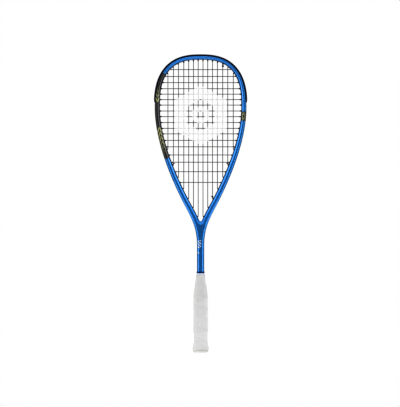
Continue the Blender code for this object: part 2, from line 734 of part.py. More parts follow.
def grip_ring(z, inset=0.0):
    """Ring on the outside of the grip, or a distance inside it."""
    half_x = profile(z, (GRIP_Z, GRIP_HALF_WIDTH))
    half_y = profile(z, (GRIP_Z, GRIP_HALF_DEPTH))
    return oval(half_x, half_y, z, GRIP_SQUARENESS, inset)


def grip_levels(low, high):
    """Heights of the grip's own profile between two limits."""
    return [low] + [z * MM for z in GRIP_Z if low + CLEARANCE < z * MM < high - CLEARANCE] + [high]


def sleeve(name, outer, inner):
    """Closed tube from matching rings of its outside and its inside."""
    size = len(outer[0])
    loop = outer + inner[::-1]
    verts = [p for ring in loop for p in ring]
    faces = []
    for row in range(len(loop)):
        following = (row + 1) % len(loop)
        for k in range(size):
            j = (k + 1) % size
            faces.append((row * size + k, row * size + j, following * size + j,
                          following * size + k))
    return mesh_object(name, verts, faces)


def build_grip():
    levels = grip_levels(LIP_Z + CLEARANCE, GRIP_TOP_Z)
    sleeve("grip_wrap", [grip_ring(z) for z in levels], [grip_ring(z, WRAP) for z in levels])


def build_butt_cap():
    """Cup with a rounded bottom, a lip level with the wrap and a sleeve under it."""
    bottom = [oval(half_x * MM, half_y * MM, z * MM, GRIP_SQUARENESS)
              for z, half_x, half_y in CAP_FOOT]
    bottom.append(grip_ring(LIP_Z))
    outside = WRAP + CLEARANCE
    levels = grip_levels(LIP_Z, CAP_SLEEVE_Z)
    up = [grip_ring(z, outside) for z in levels]
    down = [grip_ring(z, outside + CAP_WALL) for z in reversed(levels)]
    floor = [[Vector((p.x, p.y, CAP_FLOOR)) for p in down[-1]]]
    mesh_object("butt_cap", *loft(bottom + up + down + floor))


def build_pallets():
    """Two foam halves, split on the string plane, with a slot for the shaft."""
    inset = WRAP + CLEARANCE
    low = inset + CAP_WALL + CLEARANCE
    step_z = CAP_SLEEVE_Z + CLEARANCE
    levels = [(z, low) for z in grip_levels(PALLET_BOTTOM_Z, step_z)]
    levels += [(z, inset) for z in grip_levels(step_z, PALLET_TOP_Z)]
    half = HANDLE_SIDES // 2
    parting = 0.5 * CLEARANCE
    for name, sign in (("handle_pallet_front", 1.0), ("handle_pallet_back", -1.0)):
        rings = []
        for z, depth in levels:
            outer = grip_ring(z, depth)[:half]
            slot = oval(*SHAFT_SLOT, z, SHAFT_SLOT_SQUARENESS)[:half][::-1]
            edge = [Vector((outer[0].x, parting, z))]
            edge_end = [Vector((outer[-1].x, parting, z))]
            slot_edge = [Vector((slot[0].x, parting, z))]
            slot_end = [Vector((slot[-1].x, parting, z))]
            ring = edge + outer + edge_end + slot_edge + slot + slot_end
            rings.append([Vector((p.x, sign * p.y, p.z)) for p in ring])
        mesh_object(name, *loft(rings))


def shaft_ring(z, stand_off):
    """Level ring that follows the shaft's own section at a distance from it."""
    width, beam = profile(z, WIDTH_PROFILE), profile(z, BEAM_PROFILE)
    right = [(SHAFT_HALF_WIDTH, GROOVE_LIP),
             (SHAFT_HALF_WIDTH - OUTER_SHOULDER * width, beam - OUTER_BEVEL),
             (SHAFT_HALF_WIDTH - OUTER_LAND * width, beam)]
    front = right + [(-x, y) for x, y in reversed(right)]
    grow_x, grow_y = 1 + stand_off / SHAFT_HALF_WIDTH, 1 + stand_off / beam
    return [Vector((x * grow_x, y * grow_y, z))
            for x, y in front + [(-x, -y) for x, y in front]]


def build_bands():
    """The white tape that finishes the grip and the dark ring above it."""
    for name, levels, thickness in (("finishing_tape", TAPE_Z, TAPE_THICKNESS),
                                    ("shaft_collar", COLLAR_Z, COLLAR_THICKNESS)):
        sleeve(name, [shaft_ring(z, CLEARANCE + thickness) for z in levels],
               [shaft_ring(z, CLEARANCE) for z in levels])


def finish_pieces():
    """Give every piece its material, smooth shading and a common parent."""
    stand = bpy.data.objects.new("squash_racket", None)
    bpy.context.scene.collection.objects.link(stand)
    for name, (colour, roughness, metallic) in FINISHES.items():
        material = bpy.data.materials.new(name)
        material.use_nodes = True
        surface = material.node_tree.nodes["Principled BSDF"]
        surface.inputs["Base Color"].default_value = (*colour, 1.0)
        surface.inputs["Roughness"].default_value = roughness
        surface.inputs["Metallic"].default_value = metallic
        piece = bpy.data.objects[name]
        piece.data.materials.append(material)
        piece.data.shade_smooth()
        piece.data.set_sharp_from_angle(angle=SMOOTH_ANGLE)
        piece.parent = stand


def build_racket():
    rim = Rim()
    tops, bottoms, sides = string_holes(rim)
    guarded = sum(hole.exit.z > BUMPER_END_Z for hole in sides)
    bumper_holes = []
    strip_holes = {1.0: [], -1.0: []}
    for side in (1.0, -1.0):
        mains = [main_positions().index(side * x) for x in MAIN_X]
        bumper_holes += [(flip_hole(h, side), shared_hole(True, i)) for i, h in zip(mains, tops)]
        bumper_holes += [(flip_hole(h, side), False) for h in sides[:guarded]]
        strip_holes[side] += [(flip_hole(h, side), False) for h in sides[guarded:]]
        strip_holes[side] += [(flip_hole(h, side), shared_hole(False, i))
                              for i, h in zip(mains, bottoms)]
    every_hole = bumper_holes + strip_holes[1.0] + strip_holes[-1.0]
    build_frame(rim, every_hole)
    build_bumper(rim, bumper_holes)
    build_strip(rim, -1.0, "grommet_strip_left", strip_holes[-1.0])
    build_strip(rim, 1.0, "grommet_strip_right", strip_holes[1.0])
    build_strings(rim, tops, bottoms, sides)
    build_pallets()
    build_butt_cap()
    build_grip()
    build_bands()
    finish_pieces()


for startup_object in list(bpy.data.objects):
    bpy.data.objects.remove(startup_object, do_unlink=True)

build_racket()
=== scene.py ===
"""Looks of the squash racket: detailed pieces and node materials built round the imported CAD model.

Every piece follows the CAD's outline, section and hole places, with eased edges and round strings.
Lengths are metres. +Z runs up the racket, the string bed lies in the XZ plane and -Y faces the
camera.
"""

import math
from collections import namedtuple
from functools import reduce

import bmesh
import bpy
import numpy as np
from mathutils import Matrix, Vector


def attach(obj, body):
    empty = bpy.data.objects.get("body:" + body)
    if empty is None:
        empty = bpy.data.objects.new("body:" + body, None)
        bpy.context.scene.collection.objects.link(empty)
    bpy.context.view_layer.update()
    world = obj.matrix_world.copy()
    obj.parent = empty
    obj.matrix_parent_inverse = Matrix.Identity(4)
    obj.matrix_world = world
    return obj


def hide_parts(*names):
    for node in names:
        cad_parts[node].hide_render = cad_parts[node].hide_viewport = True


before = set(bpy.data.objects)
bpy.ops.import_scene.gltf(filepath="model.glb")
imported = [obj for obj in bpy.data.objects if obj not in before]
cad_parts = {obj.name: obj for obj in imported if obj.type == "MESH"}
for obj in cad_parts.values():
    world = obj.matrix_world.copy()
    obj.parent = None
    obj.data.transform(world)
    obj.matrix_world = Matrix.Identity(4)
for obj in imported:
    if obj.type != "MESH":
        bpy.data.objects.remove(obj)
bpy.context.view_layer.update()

MM = 0.001
CLEARANCE = 0.25 * MM
BED_NORMAL = Vector((0.0, 1.0, 0.0))  # square to the string plane

# Outer edge of the frame in the string plane, right-hand half, as in the CAD
HOOP_TOP_Z = 684.0 * MM
HOOP_WIDEST_Z = 563.8 * MM
HOOP_HALF_WIDTH = 105.5 * MM
HOOP_SQUARENESS = 2.56
SIDE_PULL = 63.0 * MM
ARM_POINT = (42.6 * MM, 350.0 * MM)
ARM_LEAN = (0.447, 0.894)
ARM_UPPER_PULL = 84.0 * MM
ARM_LOWER_PULL = 40.0 * MM
THROAT_PULL = 46.0 * MM
THROAT_START_Z = 246.4 * MM
SHAFT_HALF_WIDTH = 8.2 * MM
SHAFT_START_Z = 6.0 * MM

# Section of the frame, as in the CAD
WIDTH_PROFILE = ((300, 350, 520, 575, 684), (15.0, 14.0, 12.0, 11.9, 10.2))
BEAM_PROFILE = ((250, 564, 684), (9.8, 9.3, 8.8))
OUTER_SHOULDER = 0.11
OUTER_LAND = 0.33
INNER_SHOULDER = 0.14
INNER_LAND = 0.47
OUTER_BEVEL = 2.9 * MM
INNER_BEVEL = 3.6 * MM
INNER_WALL = 2.6 * MM
THROAT_RADIUS = 4.0 * MM
THROAT_REACH = 8.8 * MM  # length of rim taken up by each half of the throat's fillet
GROOVE_DEPTH = 3.5 * MM
GROOVE_HALF = 2.8 * MM
GROOVE_LIP = 3.1 * MM
GROOVE_END_Z = (278.0 * MM, 290.0 * MM)
OUTER_EASE = (0.3 * MM, 0.5 * MM, 1.5 * MM, 1.9 * MM)  # corner radii, groove floor to face
INNER_EASE = (0.8 * MM, 1.9 * MM, 2.4 * MM)
EASE_STEPS = 4
CORNER_ROOM = 0.45  # the most of an edge that the rounding of one corner may take up
ON_CENTRE = 0.0001 * MM
SOLID = 50.0 * MM  # stands for the distance to the inner edge where there is no opening

# Strings and their holes, as in the CAD but round and evenly woven
STRING_RADIUS = 0.70 * MM
STRING_SIDES = 10
MAIN_X = tuple(x * MM for x in (5.5, 16.4, 27.4, 38.7, 50.9, 62.5, 75.2))
CROSS_TOP_Z = 651.2 * MM
CROSS_GAPS = (15.9, 14.1, 14.0, 12.6, 12.5, 12.6, 13.6, 13.0, 13.6, 13.4, 12.6, 15.0, 14.8, 18.8,
              16.7, 21.8, 24.7)
WEAVE = 0.70 * MM
WEAVE_STEPS = 4
MAIN_LANE = -1.4 * MM
CROSS_LANE = 1.4 * MM
WIDE_LANE = 2.08 * MM
LANE_DEPTH = 1.35 * MM
LANE_RAMP = 2.5 * MM
TIE_RAMP = 5.0 * MM
LANE_STEP = 8.0 * MM
BEND = 1.2 * MM
TWIN = 0.72 * MM
COIL_RADIUS = 1.45 * MM
COIL_PITCH = 1.5 * MM
COIL_START = 2.0 * MM
COIL_STEPS = 14  # straight pieces in one turn
TAIL = 3.5 * MM
MAIN_TIES = (1, 12)  # mains, counted from the left, whose bottom holes take the main's tails
CROSS_TIE_TOP, CROSS_TIE_BOTTOM = 11, 9  # mains whose holes take the cross string's tails
MAIN_TIE_TURNS, CROSS_TIE_TURNS = 1, 2
MAINS_MISSED = {0: 1, 14: 1, 15: 1, 16: 2, 17: 3}  # by short crosses, at either end
HOLE_TILT = 0.12
HOLE_ROUNDS = 4  # times a hole's outer end is moved closer to the groove's middle
BARREL_REACH = 1.1 * MM
BEND_ROOM = 0.7 * MM
BARREL_MOUTH = 0.10 * MM  # from a string's bend to the end of its barrel
BARREL_EXTRA = 1.5 * MM  # a barrel is this much longer where its string leaves straight on
STRAIGHT_LIMIT = 0.10  # 1 minus the cosine of the string's bend at which that extra ends
# Barrel with a rounded mouth: place along it, share of its radius
BARREL_SHAPE = ((0.0, 0.80), (0.02, 0.93), (0.05, 1.0), (1.0, 1.0))
BORE_RADIUS, BARREL_RADIUS, HOLE_RADIUS = 0.85 * MM, 1.45 * MM, 1.75 * MM
TWIN_BORE, TWIN_BARREL, TWIN_HOLE = 1.45 * MM, 2.05 * MM, 2.35 * MM
BASE_TOP = 2.35 * MM
BASE_BOTTOM = 3.25 * MM
STRIP_HALF = 2.45 * MM
STRIP_EDGE = (0.97, 1.0, 0.93)  # shares of the half width from the strip's underside to its top
STRIP_BOTTOM_Z = 291.0 * MM
BUMPER_END_Z = 576.0 * MM
BUMPER_STAND = 2.0 * MM
BUMPER_TAPER = 9.0 * MM  # length over which the bumper thins towards each end
BUMPER_THINNEST = 0.45
BUMPER_EASE = 0.35 * MM
CHANNEL_HALF = 2.3 * MM
# Front half of the bumper's section, (depth, across) in millimetres: foot and skirt; then the
# shoulder and the rail, (share of the stand, across)
BUMPER_SKIRT = ((3.25, 2.5), (-0.28, 2.85), (1.15, 6.6), (0.2, 7.1))
BUMPER_RAIL = ((0.7, 5.3), (1.0, 4.0), (1.0, 2.7))

# Handle
GRIP_TOP_Z = 179.0 * MM
LIP_Z = 5.2 * MM
GRIP_Z = (5.2, 12, 18, 26, 130, 144, 165, 179)
GRIP_HALF_WIDTH = (19.1, 19.7, 18.4, 16.65, 16.65, 14.9, 11.3, 10.2)
GRIP_HALF_DEPTH = (17.0, 17.2, 16.0, 14.3, 14.3, 13.8, 12.9, 12.1)
FACET_NORMAL = (0.68, 0.733)  # direction of the handle's four bevel faces
FACET_REACH = 0.785  # their distance from the axis as a share of the corner's
FACET_HARDNESS = 16.0
CAP_EASE = 5.7 * MM  # rounding of the butt cap's foot
CAP_EASE_STEPS = 12
CAP_TOP = (19.1 * MM, 17.0 * MM)  # half width and half depth at the lip
CAP_FACE = (13.4 * MM, 11.3 * MM)
CAP_END_RING = ((0.30, 0.9), (0.34, 0.5), (0.50, 0.5), (0.54, 0.0), (0.70, 0.0))
CAP_LIP_EASE = 0.3 * MM
CAP_SLEEVE_Z = (12.0 * MM, 18.0 * MM, 22.0 * MM)
CAP_WALL = 1.3 * MM
CAP_FLOOR = 3.5 * MM
GRIP_SMOOTHING = 1.2 * MM  # the grip's outline is averaged over this much either way
GRIP_STEP = 0.7 * MM
GRIP_EDGE, GRIP_EDGE_DROP = 1.2 * MM, 0.4 * MM  # rounding at the grip's two ends
LAP_RISE = 0.9 * MM  # length over which a lap's edge rises
LAP_HEIGHT = 0.999  # share of the ridge that the lap's crest fills
INNER_RING_STEP = 8  # the plain inside has one ring for so many on the outside
BAND_EASE = 0.35  # rounding of a band's rims as a share of its thickness
WRAP = 1.8 * MM
WRAP_PITCH = 25.0 * MM
WRAP_RIDGE = 0.28 * MM
WRAP_OVERLAP = 5.0 * MM
TAPE_Z = (179.3 * MM, 182.5 * MM)
TAPE_THICKNESS = 0.70 * MM
COLLAR_Z = (182.8 * MM, 186.4 * MM)
COLLAR_THICKNESS = 0.45 * MM

# Facets
RIM_STEP = 0.5 * MM
BEND_WINDOW = 9  # steps of the rim over which its bend is averaged
STATION_SAMPLES = 600
FLATNESS = 0.004 * MM
LONGEST_CHORD = 5.0 * MM
THROAT_STEPS = 10
BARREL_SIDES = 16
ARC_STEP, NEARLY_STRAIGHT = math.radians(18), math.radians(8)  # for a string's bends
CURVE_POINTS = 400
HANDLE_SIDES = 96
SMOOTH_ANGLE = math.radians(38)

Row = namedtuple("Row", "outer normal inner away width beam groove run")
Hole = namedtuple("Hole", "bend axis exit run pull")


# ---- outline ----

def profile(z, knots):
    """Value in metres of a (heights, values) table in millimetres."""
    return float(np.interp(z / MM, knots[0], knots[1])) * MM


def bezier(start, handle_a, handle_b, end):
    """Points of a cubic curve in the plane."""
    t = np.linspace(0.0, 1.0, CURVE_POINTS)[:, None]
    a, b, c, d = (np.array(p) for p in (start, handle_a, handle_b, end))
    return a * (1 - t) ** 3 + 3 * b * t * (1 - t) ** 2 + 3 * c * t ** 2 * (1 - t) + d * t ** 3


def outline():
    """Outer edge of the right half in the string plane, from the shaft's end to the top centre."""
    lean = np.array(ARM_LEAN)
    arm = np.array(ARM_POINT)
    shaft_top = (SHAFT_HALF_WIDTH, THROAT_START_Z)
    widest = (HOOP_HALF_WIDTH, HOOP_WIDEST_Z)
    shaft = [(SHAFT_HALF_WIDTH, SHAFT_START_Z)]
    throat = bezier(shaft_top, (SHAFT_HALF_WIDTH, THROAT_START_Z + THROAT_PULL),
                    arm - lean * ARM_LOWER_PULL, arm)
    side = bezier(arm, arm + lean * ARM_UPPER_PULL, (HOOP_HALF_WIDTH, HOOP_WIDEST_Z - SIDE_PULL),
                  widest)
    angle = np.linspace(0.0, math.pi / 2, CURVE_POINTS)
    rise = HOOP_TOP_Z - HOOP_WIDEST_Z
    reach = ((np.cos(angle) / HOOP_HALF_WIDTH) ** HOOP_SQUARENESS
             + (np.sin(angle) / rise) ** HOOP_SQUARENESS) ** (-1 / HOOP_SQUARENESS)
    crown = np.stack((reach * np.cos(angle), HOOP_WIDEST_Z + reach * np.sin(angle)), axis=1)
    return np.vstack((shaft, throat, side[1:], crown[1:]))


class Rim:
    """The frame's outer edge on the right, addressed by distance along it from the shaft's end."""

    def __init__(self):
        path = outline()
        steps = np.hypot(*np.diff(path, axis=0).T)
        run = np.concatenate(([0.0], np.cumsum(steps)))
        self.length = float(run[-1])
        self.run = np.linspace(0.0, self.length, int(self.length / RIM_STEP) + 1)
        self.x = np.interp(self.run, run, path[:, 0])
        self.z = np.interp(self.run, run, path[:, 1])
        self.x[-1] = 0.0
        dx, dz = np.gradient(self.x, self.run), np.gradient(self.z, self.run)
        size = np.hypot(dx, dz)
        self.nx, self.nz = dz / size, -dx / size
        self.nx[-1], self.nz[-1] = 0.0, 1.0
        turn = np.abs(np.gradient(np.unwrap(np.arctan2(self.nz, self.nx)), self.run))
        self.bend = np.convolve(turn, np.ones(BEND_WINDOW) / BEND_WINDOW, mode="same")

    def point(self, run):
        return Vector((np.interp(run, self.run, self.x), 0.0, np.interp(run, self.run, self.z)))

    def normal(self, run):
        """Unit vector square to the edge, pointing out of the racket."""
        x, z = np.interp(run, self.run, self.nx), np.interp(run, self.run, self.nz)
        return Vector((x, 0.0, z)).normalized()

    def at_height(self, z):
        """Distance along the rim at which its outer edge reaches the height z."""
        return float(np.interp(z, self.z, self.run))

    def width(self, run):
        return profile(self.point(run).z, WIDTH_PROFILE)

    def beam(self, run):
        return profile(self.point(run).z, BEAM_PROFILE)

    def below(self, run, depth, across=0.0):
        """Point at a depth under the outer edge, shifted across the racket's thickness."""
        return self.point(run) - self.normal(run) * depth + Vector((0.0, across, 0.0))

    def nearest(self, point):
        return float(self.run[np.argmin((self.x - point.x) ** 2 + (self.z - point.z) ** 2)])

    def stations(self, start, end):
        """Distances from start to end, closer together where the rim bends more."""
        run = np.linspace(start, end, STATION_SAMPLES)
        bend = np.interp(run, self.run, self.bend)
        density = np.maximum(np.sqrt(bend / (8 * FLATNESS)), 1 / LONGEST_CHORD)
        total = np.concatenate(([0.0], np.cumsum((density[1:] + density[:-1]) / 2 * np.diff(run))))
        count = max(1, math.ceil(total[-1]))
        return [float(r) for r in np.interp(np.linspace(0, total[-1], count + 1), total, run)]


# ---- mesh helpers ----

def mesh_object(name, verts, faces, uvs=None, fields=None):
    """New smooth object; uvs holds one (u, v) a face corner and fields one value a point."""
    mesh = bpy.data.meshes.new(name)
    mesh.from_pydata([tuple(v) for v in verts], [], faces)
    if uvs is not None:
        layer = mesh.uv_layers.new(name="surface")
        layer.data.foreach_set("uv", np.array(uvs, np.float32).ravel())
    for field, values in (fields or {}).items():
        mesh.attributes.new(field, 'FLOAT', 'POINT').data.foreach_set("value", values)
    shape = bmesh.new()
    shape.from_mesh(mesh)
    bmesh.ops.recalc_face_normals(shape, faces=shape.faces[:])
    shape.to_mesh(mesh)
    shape.free()
    mesh.shade_smooth()
    thing = bpy.data.objects.new(name, mesh)
    bpy.context.scene.collection.objects.link(thing)
    return thing


def loft(rings, closed=False):
    """Points and faces of a skin over rings of equal size: capped at both ends, or closed."""
    size = len(rings[0])
    verts = [p for ring in rings for p in ring]
    faces = []
    for row in range(len(rings) if closed else len(rings) - 1):
        low, high = row * size, (row + 1) % len(rings) * size
        for k in range(size):
            j = (k + 1) % size
            faces.append((low + k, low + j, high + j, high + k))
    if not closed:
        faces.append(tuple(range(size)))
        faces.append(tuple(range((len(rings) - 1) * size, len(rings) * size)))
    return verts, faces


def gather(parts):
    """One list of points and faces from several."""
    verts, faces = [], []
    for part_verts, part_faces in parts:
        start = len(verts)
        verts.extend(part_verts)
        faces.extend(tuple(start + i for i in face) for face in part_faces)
    return verts, faces


def carve(thing, steps):
    """Join or cut helper objects, keep the result as the piece's own mesh and drop the helpers."""
    for tool, operation in steps:
        step = thing.modifiers.new(tool.name, 'BOOLEAN')
        step.operation = operation
        step.solver = 'MANIFOLD'
        step.object = tool
    graph = bpy.context.evaluated_depsgraph_get()
    rough = thing.data
    thing.data = bpy.data.meshes.new_from_object(thing.evaluated_get(graph))
    thing.modifiers.clear()
    for tool, _ in steps:
        bpy.data.objects.remove(tool, do_unlink=True)
    thing.data.name = rough.name
    bpy.data.meshes.remove(rough)
    thing.data.shade_smooth()


def settle_normals(thing):
    """Sharp edges stay sharp and wide flats shade flat beside their eased corners."""
    thing.data.set_sharp_from_angle(angle=SMOOTH_ANGLE)
    weighted = thing.modifiers.new("weighted_normals", 'WEIGHTED_NORMAL')
    weighted.keep_sharp = True


def rod(start, end, radius, shape=((0.0, 1.0), (1.0, 1.0))):
    """Points and faces of a round bar; shape holds (place along it, share of the radius)."""
    along = (end - start).normalized()
    across = Vector((-along.z, 0.0, along.x))
    rings = []
    angles = [2 * math.pi * k / BARREL_SIDES for k in range(BARREL_SIDES)]
    for place, share in shape:
        centre = start.lerp(end, place)
        spokes = (across * math.cos(a) + BED_NORMAL * math.sin(a) for a in angles)
        rings.append([centre + spoke * (radius * share) for spoke in spokes])
    return loft(rings)


def eased(before, corners, after, radii):
    """Section corners (depth, height), each replaced by a short curve of its own radius."""
    chain = [Vector(p) for p in (before, *corners, after)]
    points = []
    for last, corner, following, radius in zip(chain, chain[1:], chain[2:], radii):
        arrive, leave = last - corner, following - corner
        start = corner + arrive.normalized() * min(radius, CORNER_ROOM * arrive.length)
        end = corner + leave.normalized() * min(radius, CORNER_ROOM * leave.length)
        for k in range(EASE_STEPS + 1):
            t = k / EASE_STEPS
            point = start * (1 - t) ** 2 + corner * (2 * t * (1 - t)) + end * t ** 2
            points.append((point.x, point.y))
    return points


# ---- frame ----

def throat_fit(rim):
    """Place along the rim and centre height where the throat's fillet meets the inner edge."""
    reach = np.interp(rim.z / MM, *WIDTH_PROFILE) * MM + THROAT_RADIUS
    centre_x = rim.x - rim.nx * reach
    arm = (rim.z > THROAT_START_Z + 2 * THROAT_RADIUS) & (rim.z < HOOP_WIDEST_Z)
    run = float(np.interp(0.0, centre_x[arm], rim.run[arm]))
    centre_z = rim.point(run).z - rim.normal(run).z * (rim.width(run) + THROAT_RADIUS)
    return run, centre_z


def frame_rows(rim):
    """Section rows of the right half from the shaft's end to the top, and the throat row's index."""
    def row(run, inner=None, away=None):
        z = rim.point(run).z
        groove = GROOVE_DEPTH * float(np.interp(z, GROOVE_END_Z, (0.0, 1.0)))
        return Row(rim.point(run), rim.normal(run), inner, away, rim.width(run), rim.beam(run),
                   groove, run)

    meet, centre_z = throat_fit(rim)
    lean = math.atan2(rim.normal(meet).x, -rim.normal(meet).z)
    throat = meet - THROAT_REACH
    rows = [row(run) for run in rim.stations(0.0, throat)[:-1]]
    apex = len(rows)
    for step in range(THROAT_STEPS):
        turn = lean * step / THROAT_STEPS
        away = Vector((math.sin(turn), 0.0, -math.cos(turn)))
        inner = Vector((0.0, 0.0, centre_z)) + away * THROAT_RADIUS
        rows.append(row(throat + (meet - throat) * step / THROAT_STEPS, inner, away))
    for run in rim.stations(meet, rim.length):
        rows.append(row(run, rim.below(run, rim.width(run)), rim.normal(run)))
    return rows, apex


def section(row):
    """Eased outer and inner corner points of the front half, groove or inner wall first."""
    w, beam = row.width, row.beam
    outer = eased((row.groove, 0.0),
                  [(row.groove, GROOVE_HALF), (0.0, GROOVE_LIP),
                   (OUTER_SHOULDER * w, beam - OUTER_BEVEL), (OUTER_LAND * w, beam)],
                  (0.5 * w, beam), OUTER_EASE)
    inner = eased((0.0, 0.0),
                  [(0.0, INNER_WALL), (INNER_SHOULDER * w, beam - INNER_BEVEL),
                   (INNER_LAND * w, beam)],
                  (0.6 * w, beam), INNER_EASE)
    return outer, inner


def ring_points(row):
    """Points of one row and their depth past the tube's middle; a chain below the throat."""
    outer, inner = section(row)
    half = 0.5 * row.width

    def outer_point(depth, across):
        return row.outer - row.normal * depth + BED_NORMAL * across, depth - half

    def inner_point(depth, across):
        return row.inner + row.away * depth + BED_NORMAL * across, half - depth

    land = outer[-1][1]
    front = [outer_point(d, v) for d, v in reversed(outer)]
    back = [outer_point(d, -v) for d, v in outer]
    if row.inner is None:
        height = front[0][0].z
        middle = [(Vector((0.0, y, height)), 0.0) for y in (land, -land)]
        return middle[:1] + front + back + middle[1:]
    rest_back = [inner_point(d, -v) for d, v in reversed(inner)]
    rest_front = [inner_point(d, v) for d, v in inner]
    return [rest_front[-1]] + front + back + rest_back + rest_front[:-1]


def build_frame(rim, holes):
    """The moulded tube: shaft, throat, arms and hoop in one, drilled for the strings."""
    rows, apex = frame_rows(rim)
    verts, fields, rings, faces = [], [], [], []
    for row in rows:
        points = ring_points(row)
        rings.append(range(len(verts), len(verts) + len(points)))
        for point, across in points:
            verts.append(point)
            inside = SOLID if row.inner is None else 0.5 * row.width - across
            fields.append((row.run, across, inside))
    for index, (low, high) in enumerate(zip(rings, rings[1:])):
        count = len(rings[0]) - 1 if index < apex else len(low)
        for k in range(count):
            j = (k + 1) % len(high) if index >= apex else k + 1
            faces.append((low[k], low[j], high[j], high[k]))
    faces.append(tuple(rings[0]))
    twin = []
    for index in range(len(verts)):
        if abs(verts[index].x) < ON_CENTRE:
            verts[index].x = 0.0
            twin.append(index)
        else:
            twin.append(len(verts))
            verts.append(Vector((-verts[index].x, verts[index].y, verts[index].z)))
            fields.append(fields[index])
    faces += [tuple(twin[i] for i in reversed(face)) for face in faces]
    shell = mesh_object("racket_frame", verts, faces,
                        fields=dict(zip(("along", "across", "inside"), zip(*fields))))
    drills = []
    for hole, shared in holes:
        radius = TWIN_HOLE if shared else HOLE_RADIUS
        start = hole.bend + hole.axis * 0.5 * BEND_ROOM
        end = hole.exit + hole.axis * 0.2 * LANE_DEPTH
        drills.append(rod(start, end, radius))
    carve(shell, [(mesh_object("string_drills", *gather(drills)), 'DIFFERENCE')])
    settle_normals(shell)
    return shell


# ---- string holes ----

def drill(rim, run, pull):
    """Hole that starts in front of the rim at `run` and leans towards the string's pull."""
    normal = rim.normal(run)
    bend = rim.below(run, rim.width(run) + BARREL_REACH + BEND_ROOM)
    axis = (normal + pull * HOLE_TILT).normalized()
    reach = rim.width(run) / axis.dot(normal)
    for _ in range(HOLE_ROUNDS):
        point = bend + axis * reach
        exit_run = rim.nearest(point)
        depth = (rim.point(exit_run) - point).dot(rim.normal(exit_run))
        reach += (depth - LANE_DEPTH) / axis.dot(rim.normal(exit_run))
    return Hole(bend, axis, bend + axis * reach, exit_run, pull)


def string_holes(rim):
    """Right-hand holes: seven main tops, seven main bottoms and eighteen cross ends."""
    inset = np.interp(rim.z / MM, *WIDTH_PROFILE) * MM + BARREL_REACH + BEND_ROOM
    line_x, line_z = rim.x - rim.nx * inset, rim.z - rim.nz * inset
    widest = rim.at_height(HOOP_WIDEST_Z)
    arm = (rim.run > throat_fit(rim)[0] - THROAT_RADIUS) & (rim.run < widest)
    crown = rim.run >= widest
    tops, bottoms, sides = [], [], []
    for x in MAIN_X:
        run = float(np.interp(-x, -line_x[crown], rim.run[crown]))
        tops.append(drill(rim, run, Vector((0.0, 0.0, 1.0))))
        run = float(np.interp(x, line_x[arm], rim.run[arm]))
        bottoms.append(drill(rim, run, Vector((0.0, 0.0, -1.0))))
    above = arm | crown
    for z in cross_heights():
        run = float(np.interp(z, line_z[above], rim.run[above]))
        sides.append(drill(rim, run, Vector((1.0, 0.0, 0.0))))
    return tops, bottoms, sides


def cross_heights():
    """Heights of the cross strings, top first."""
    return [CROSS_TOP_Z - sum(CROSS_GAPS[:k]) * MM for k in range(len(CROSS_GAPS) + 1)]


def flip(value, side):
    """Vector moved to the given side of the centre line."""
    return Vector((value.x * side, value.y, value.z))


def flip_hole(hole, side):
    return Hole(*(flip(part, side) if isinstance(part, Vector) else part for part in hole))


# ---- strings ----

def rounded(path):
    """Plain points from (point, radius) corners, each corner eased by an arc of its radius."""
    points = [path[0][0]]
    for (before, _), (corner, radius), (after, _) in zip(path, path[1:], path[2:]):
        arrive, leave = (corner - before).normalized(), (after - corner).normalized()
        turn = arrive.angle(leave, 0.0)
        if radius == 0.0 or turn < NEARLY_STRAIGHT:
            points.append(corner)
            continue
        room = CORNER_ROOM * min((corner - before).length, (after - corner).length)
        ease = min(radius * math.tan(turn / 2), room)
        swing = ease / math.tan(turn / 2)
        hub = corner + (leave - arrive).normalized() * (swing / math.cos(turn / 2))
        first, last = corner - arrive * ease - hub, corner + leave * ease - hub
        pieces = max(1, math.ceil(turn / ARC_STEP))
        for k in range(pieces + 1):
            share = k / pieces
            blend = first * math.sin((1 - share) * turn) + last * math.sin(share * turn)
            points.append(hub + blend / math.sin(turn))
    points.append(path[-1][0])
    return points


def string_tube(name, points):
    """A mitred round tube along a path, with its length and its turn as surface coordinates."""
    heads = [(b - a).normalized() for a, b in zip(points, points[1:])]
    side = BED_NORMAL.cross(heads[0])
    side = (side if side.length > 0.1 else Vector((1.0, 0.0, 0.0)).cross(heads[0])).normalized()
    rings, lengths, length = [], [], 0.0
    for index, point in enumerate(points):
        before, after = heads[max(index - 1, 0)], heads[min(index, len(heads) - 1)]
        other = before.cross(side)
        mitre = (before + after).normalized()
        ring = []
        for k in range(STRING_SIDES):
            angle = 2 * math.pi * k / STRING_SIDES
            spoke = (side * math.cos(angle) + other * math.sin(angle)) * STRING_RADIUS
            ring.append(point + spoke - before * (spoke.dot(mitre) / before.dot(mitre)))
        rings.append(ring)
        side = (before.rotation_difference(after) @ side).normalized()
        length += (point - points[index - 1]).length if index else 0.0
        lengths.append(length)
    verts, faces = loft(rings)
    uvs = []
    for low, high in zip(lengths, lengths[1:]):
        for k in range(STRING_SIDES):
            start, end = k / STRING_SIDES, (k + 1) / STRING_SIDES
            uvs += [(low, start), (low, end), (high, end), (high, start)]
    uvs += [(lengths[0], 0.0)] * STRING_SIDES + [(lengths[-1], 0.0)] * STRING_SIDES
    return mesh_object(name, verts, faces, uvs)


def lane(rim, side, start_run, end_run, across, ramp=LANE_RAMP):
    """Corners of a string that runs along the groove between two holes on one side."""
    direction = 1.0 if end_run > start_run else -1.0
    first, last = start_run + direction * ramp, end_run - direction * LANE_RAMP
    count = max(1, math.ceil(abs(last - first) / LANE_STEP))
    stops = [first + (last - first) * k / count for k in range(count + 1)]
    return [(flip(rim.below(run, LANE_DEPTH, across), side), BEND) for run in stops]


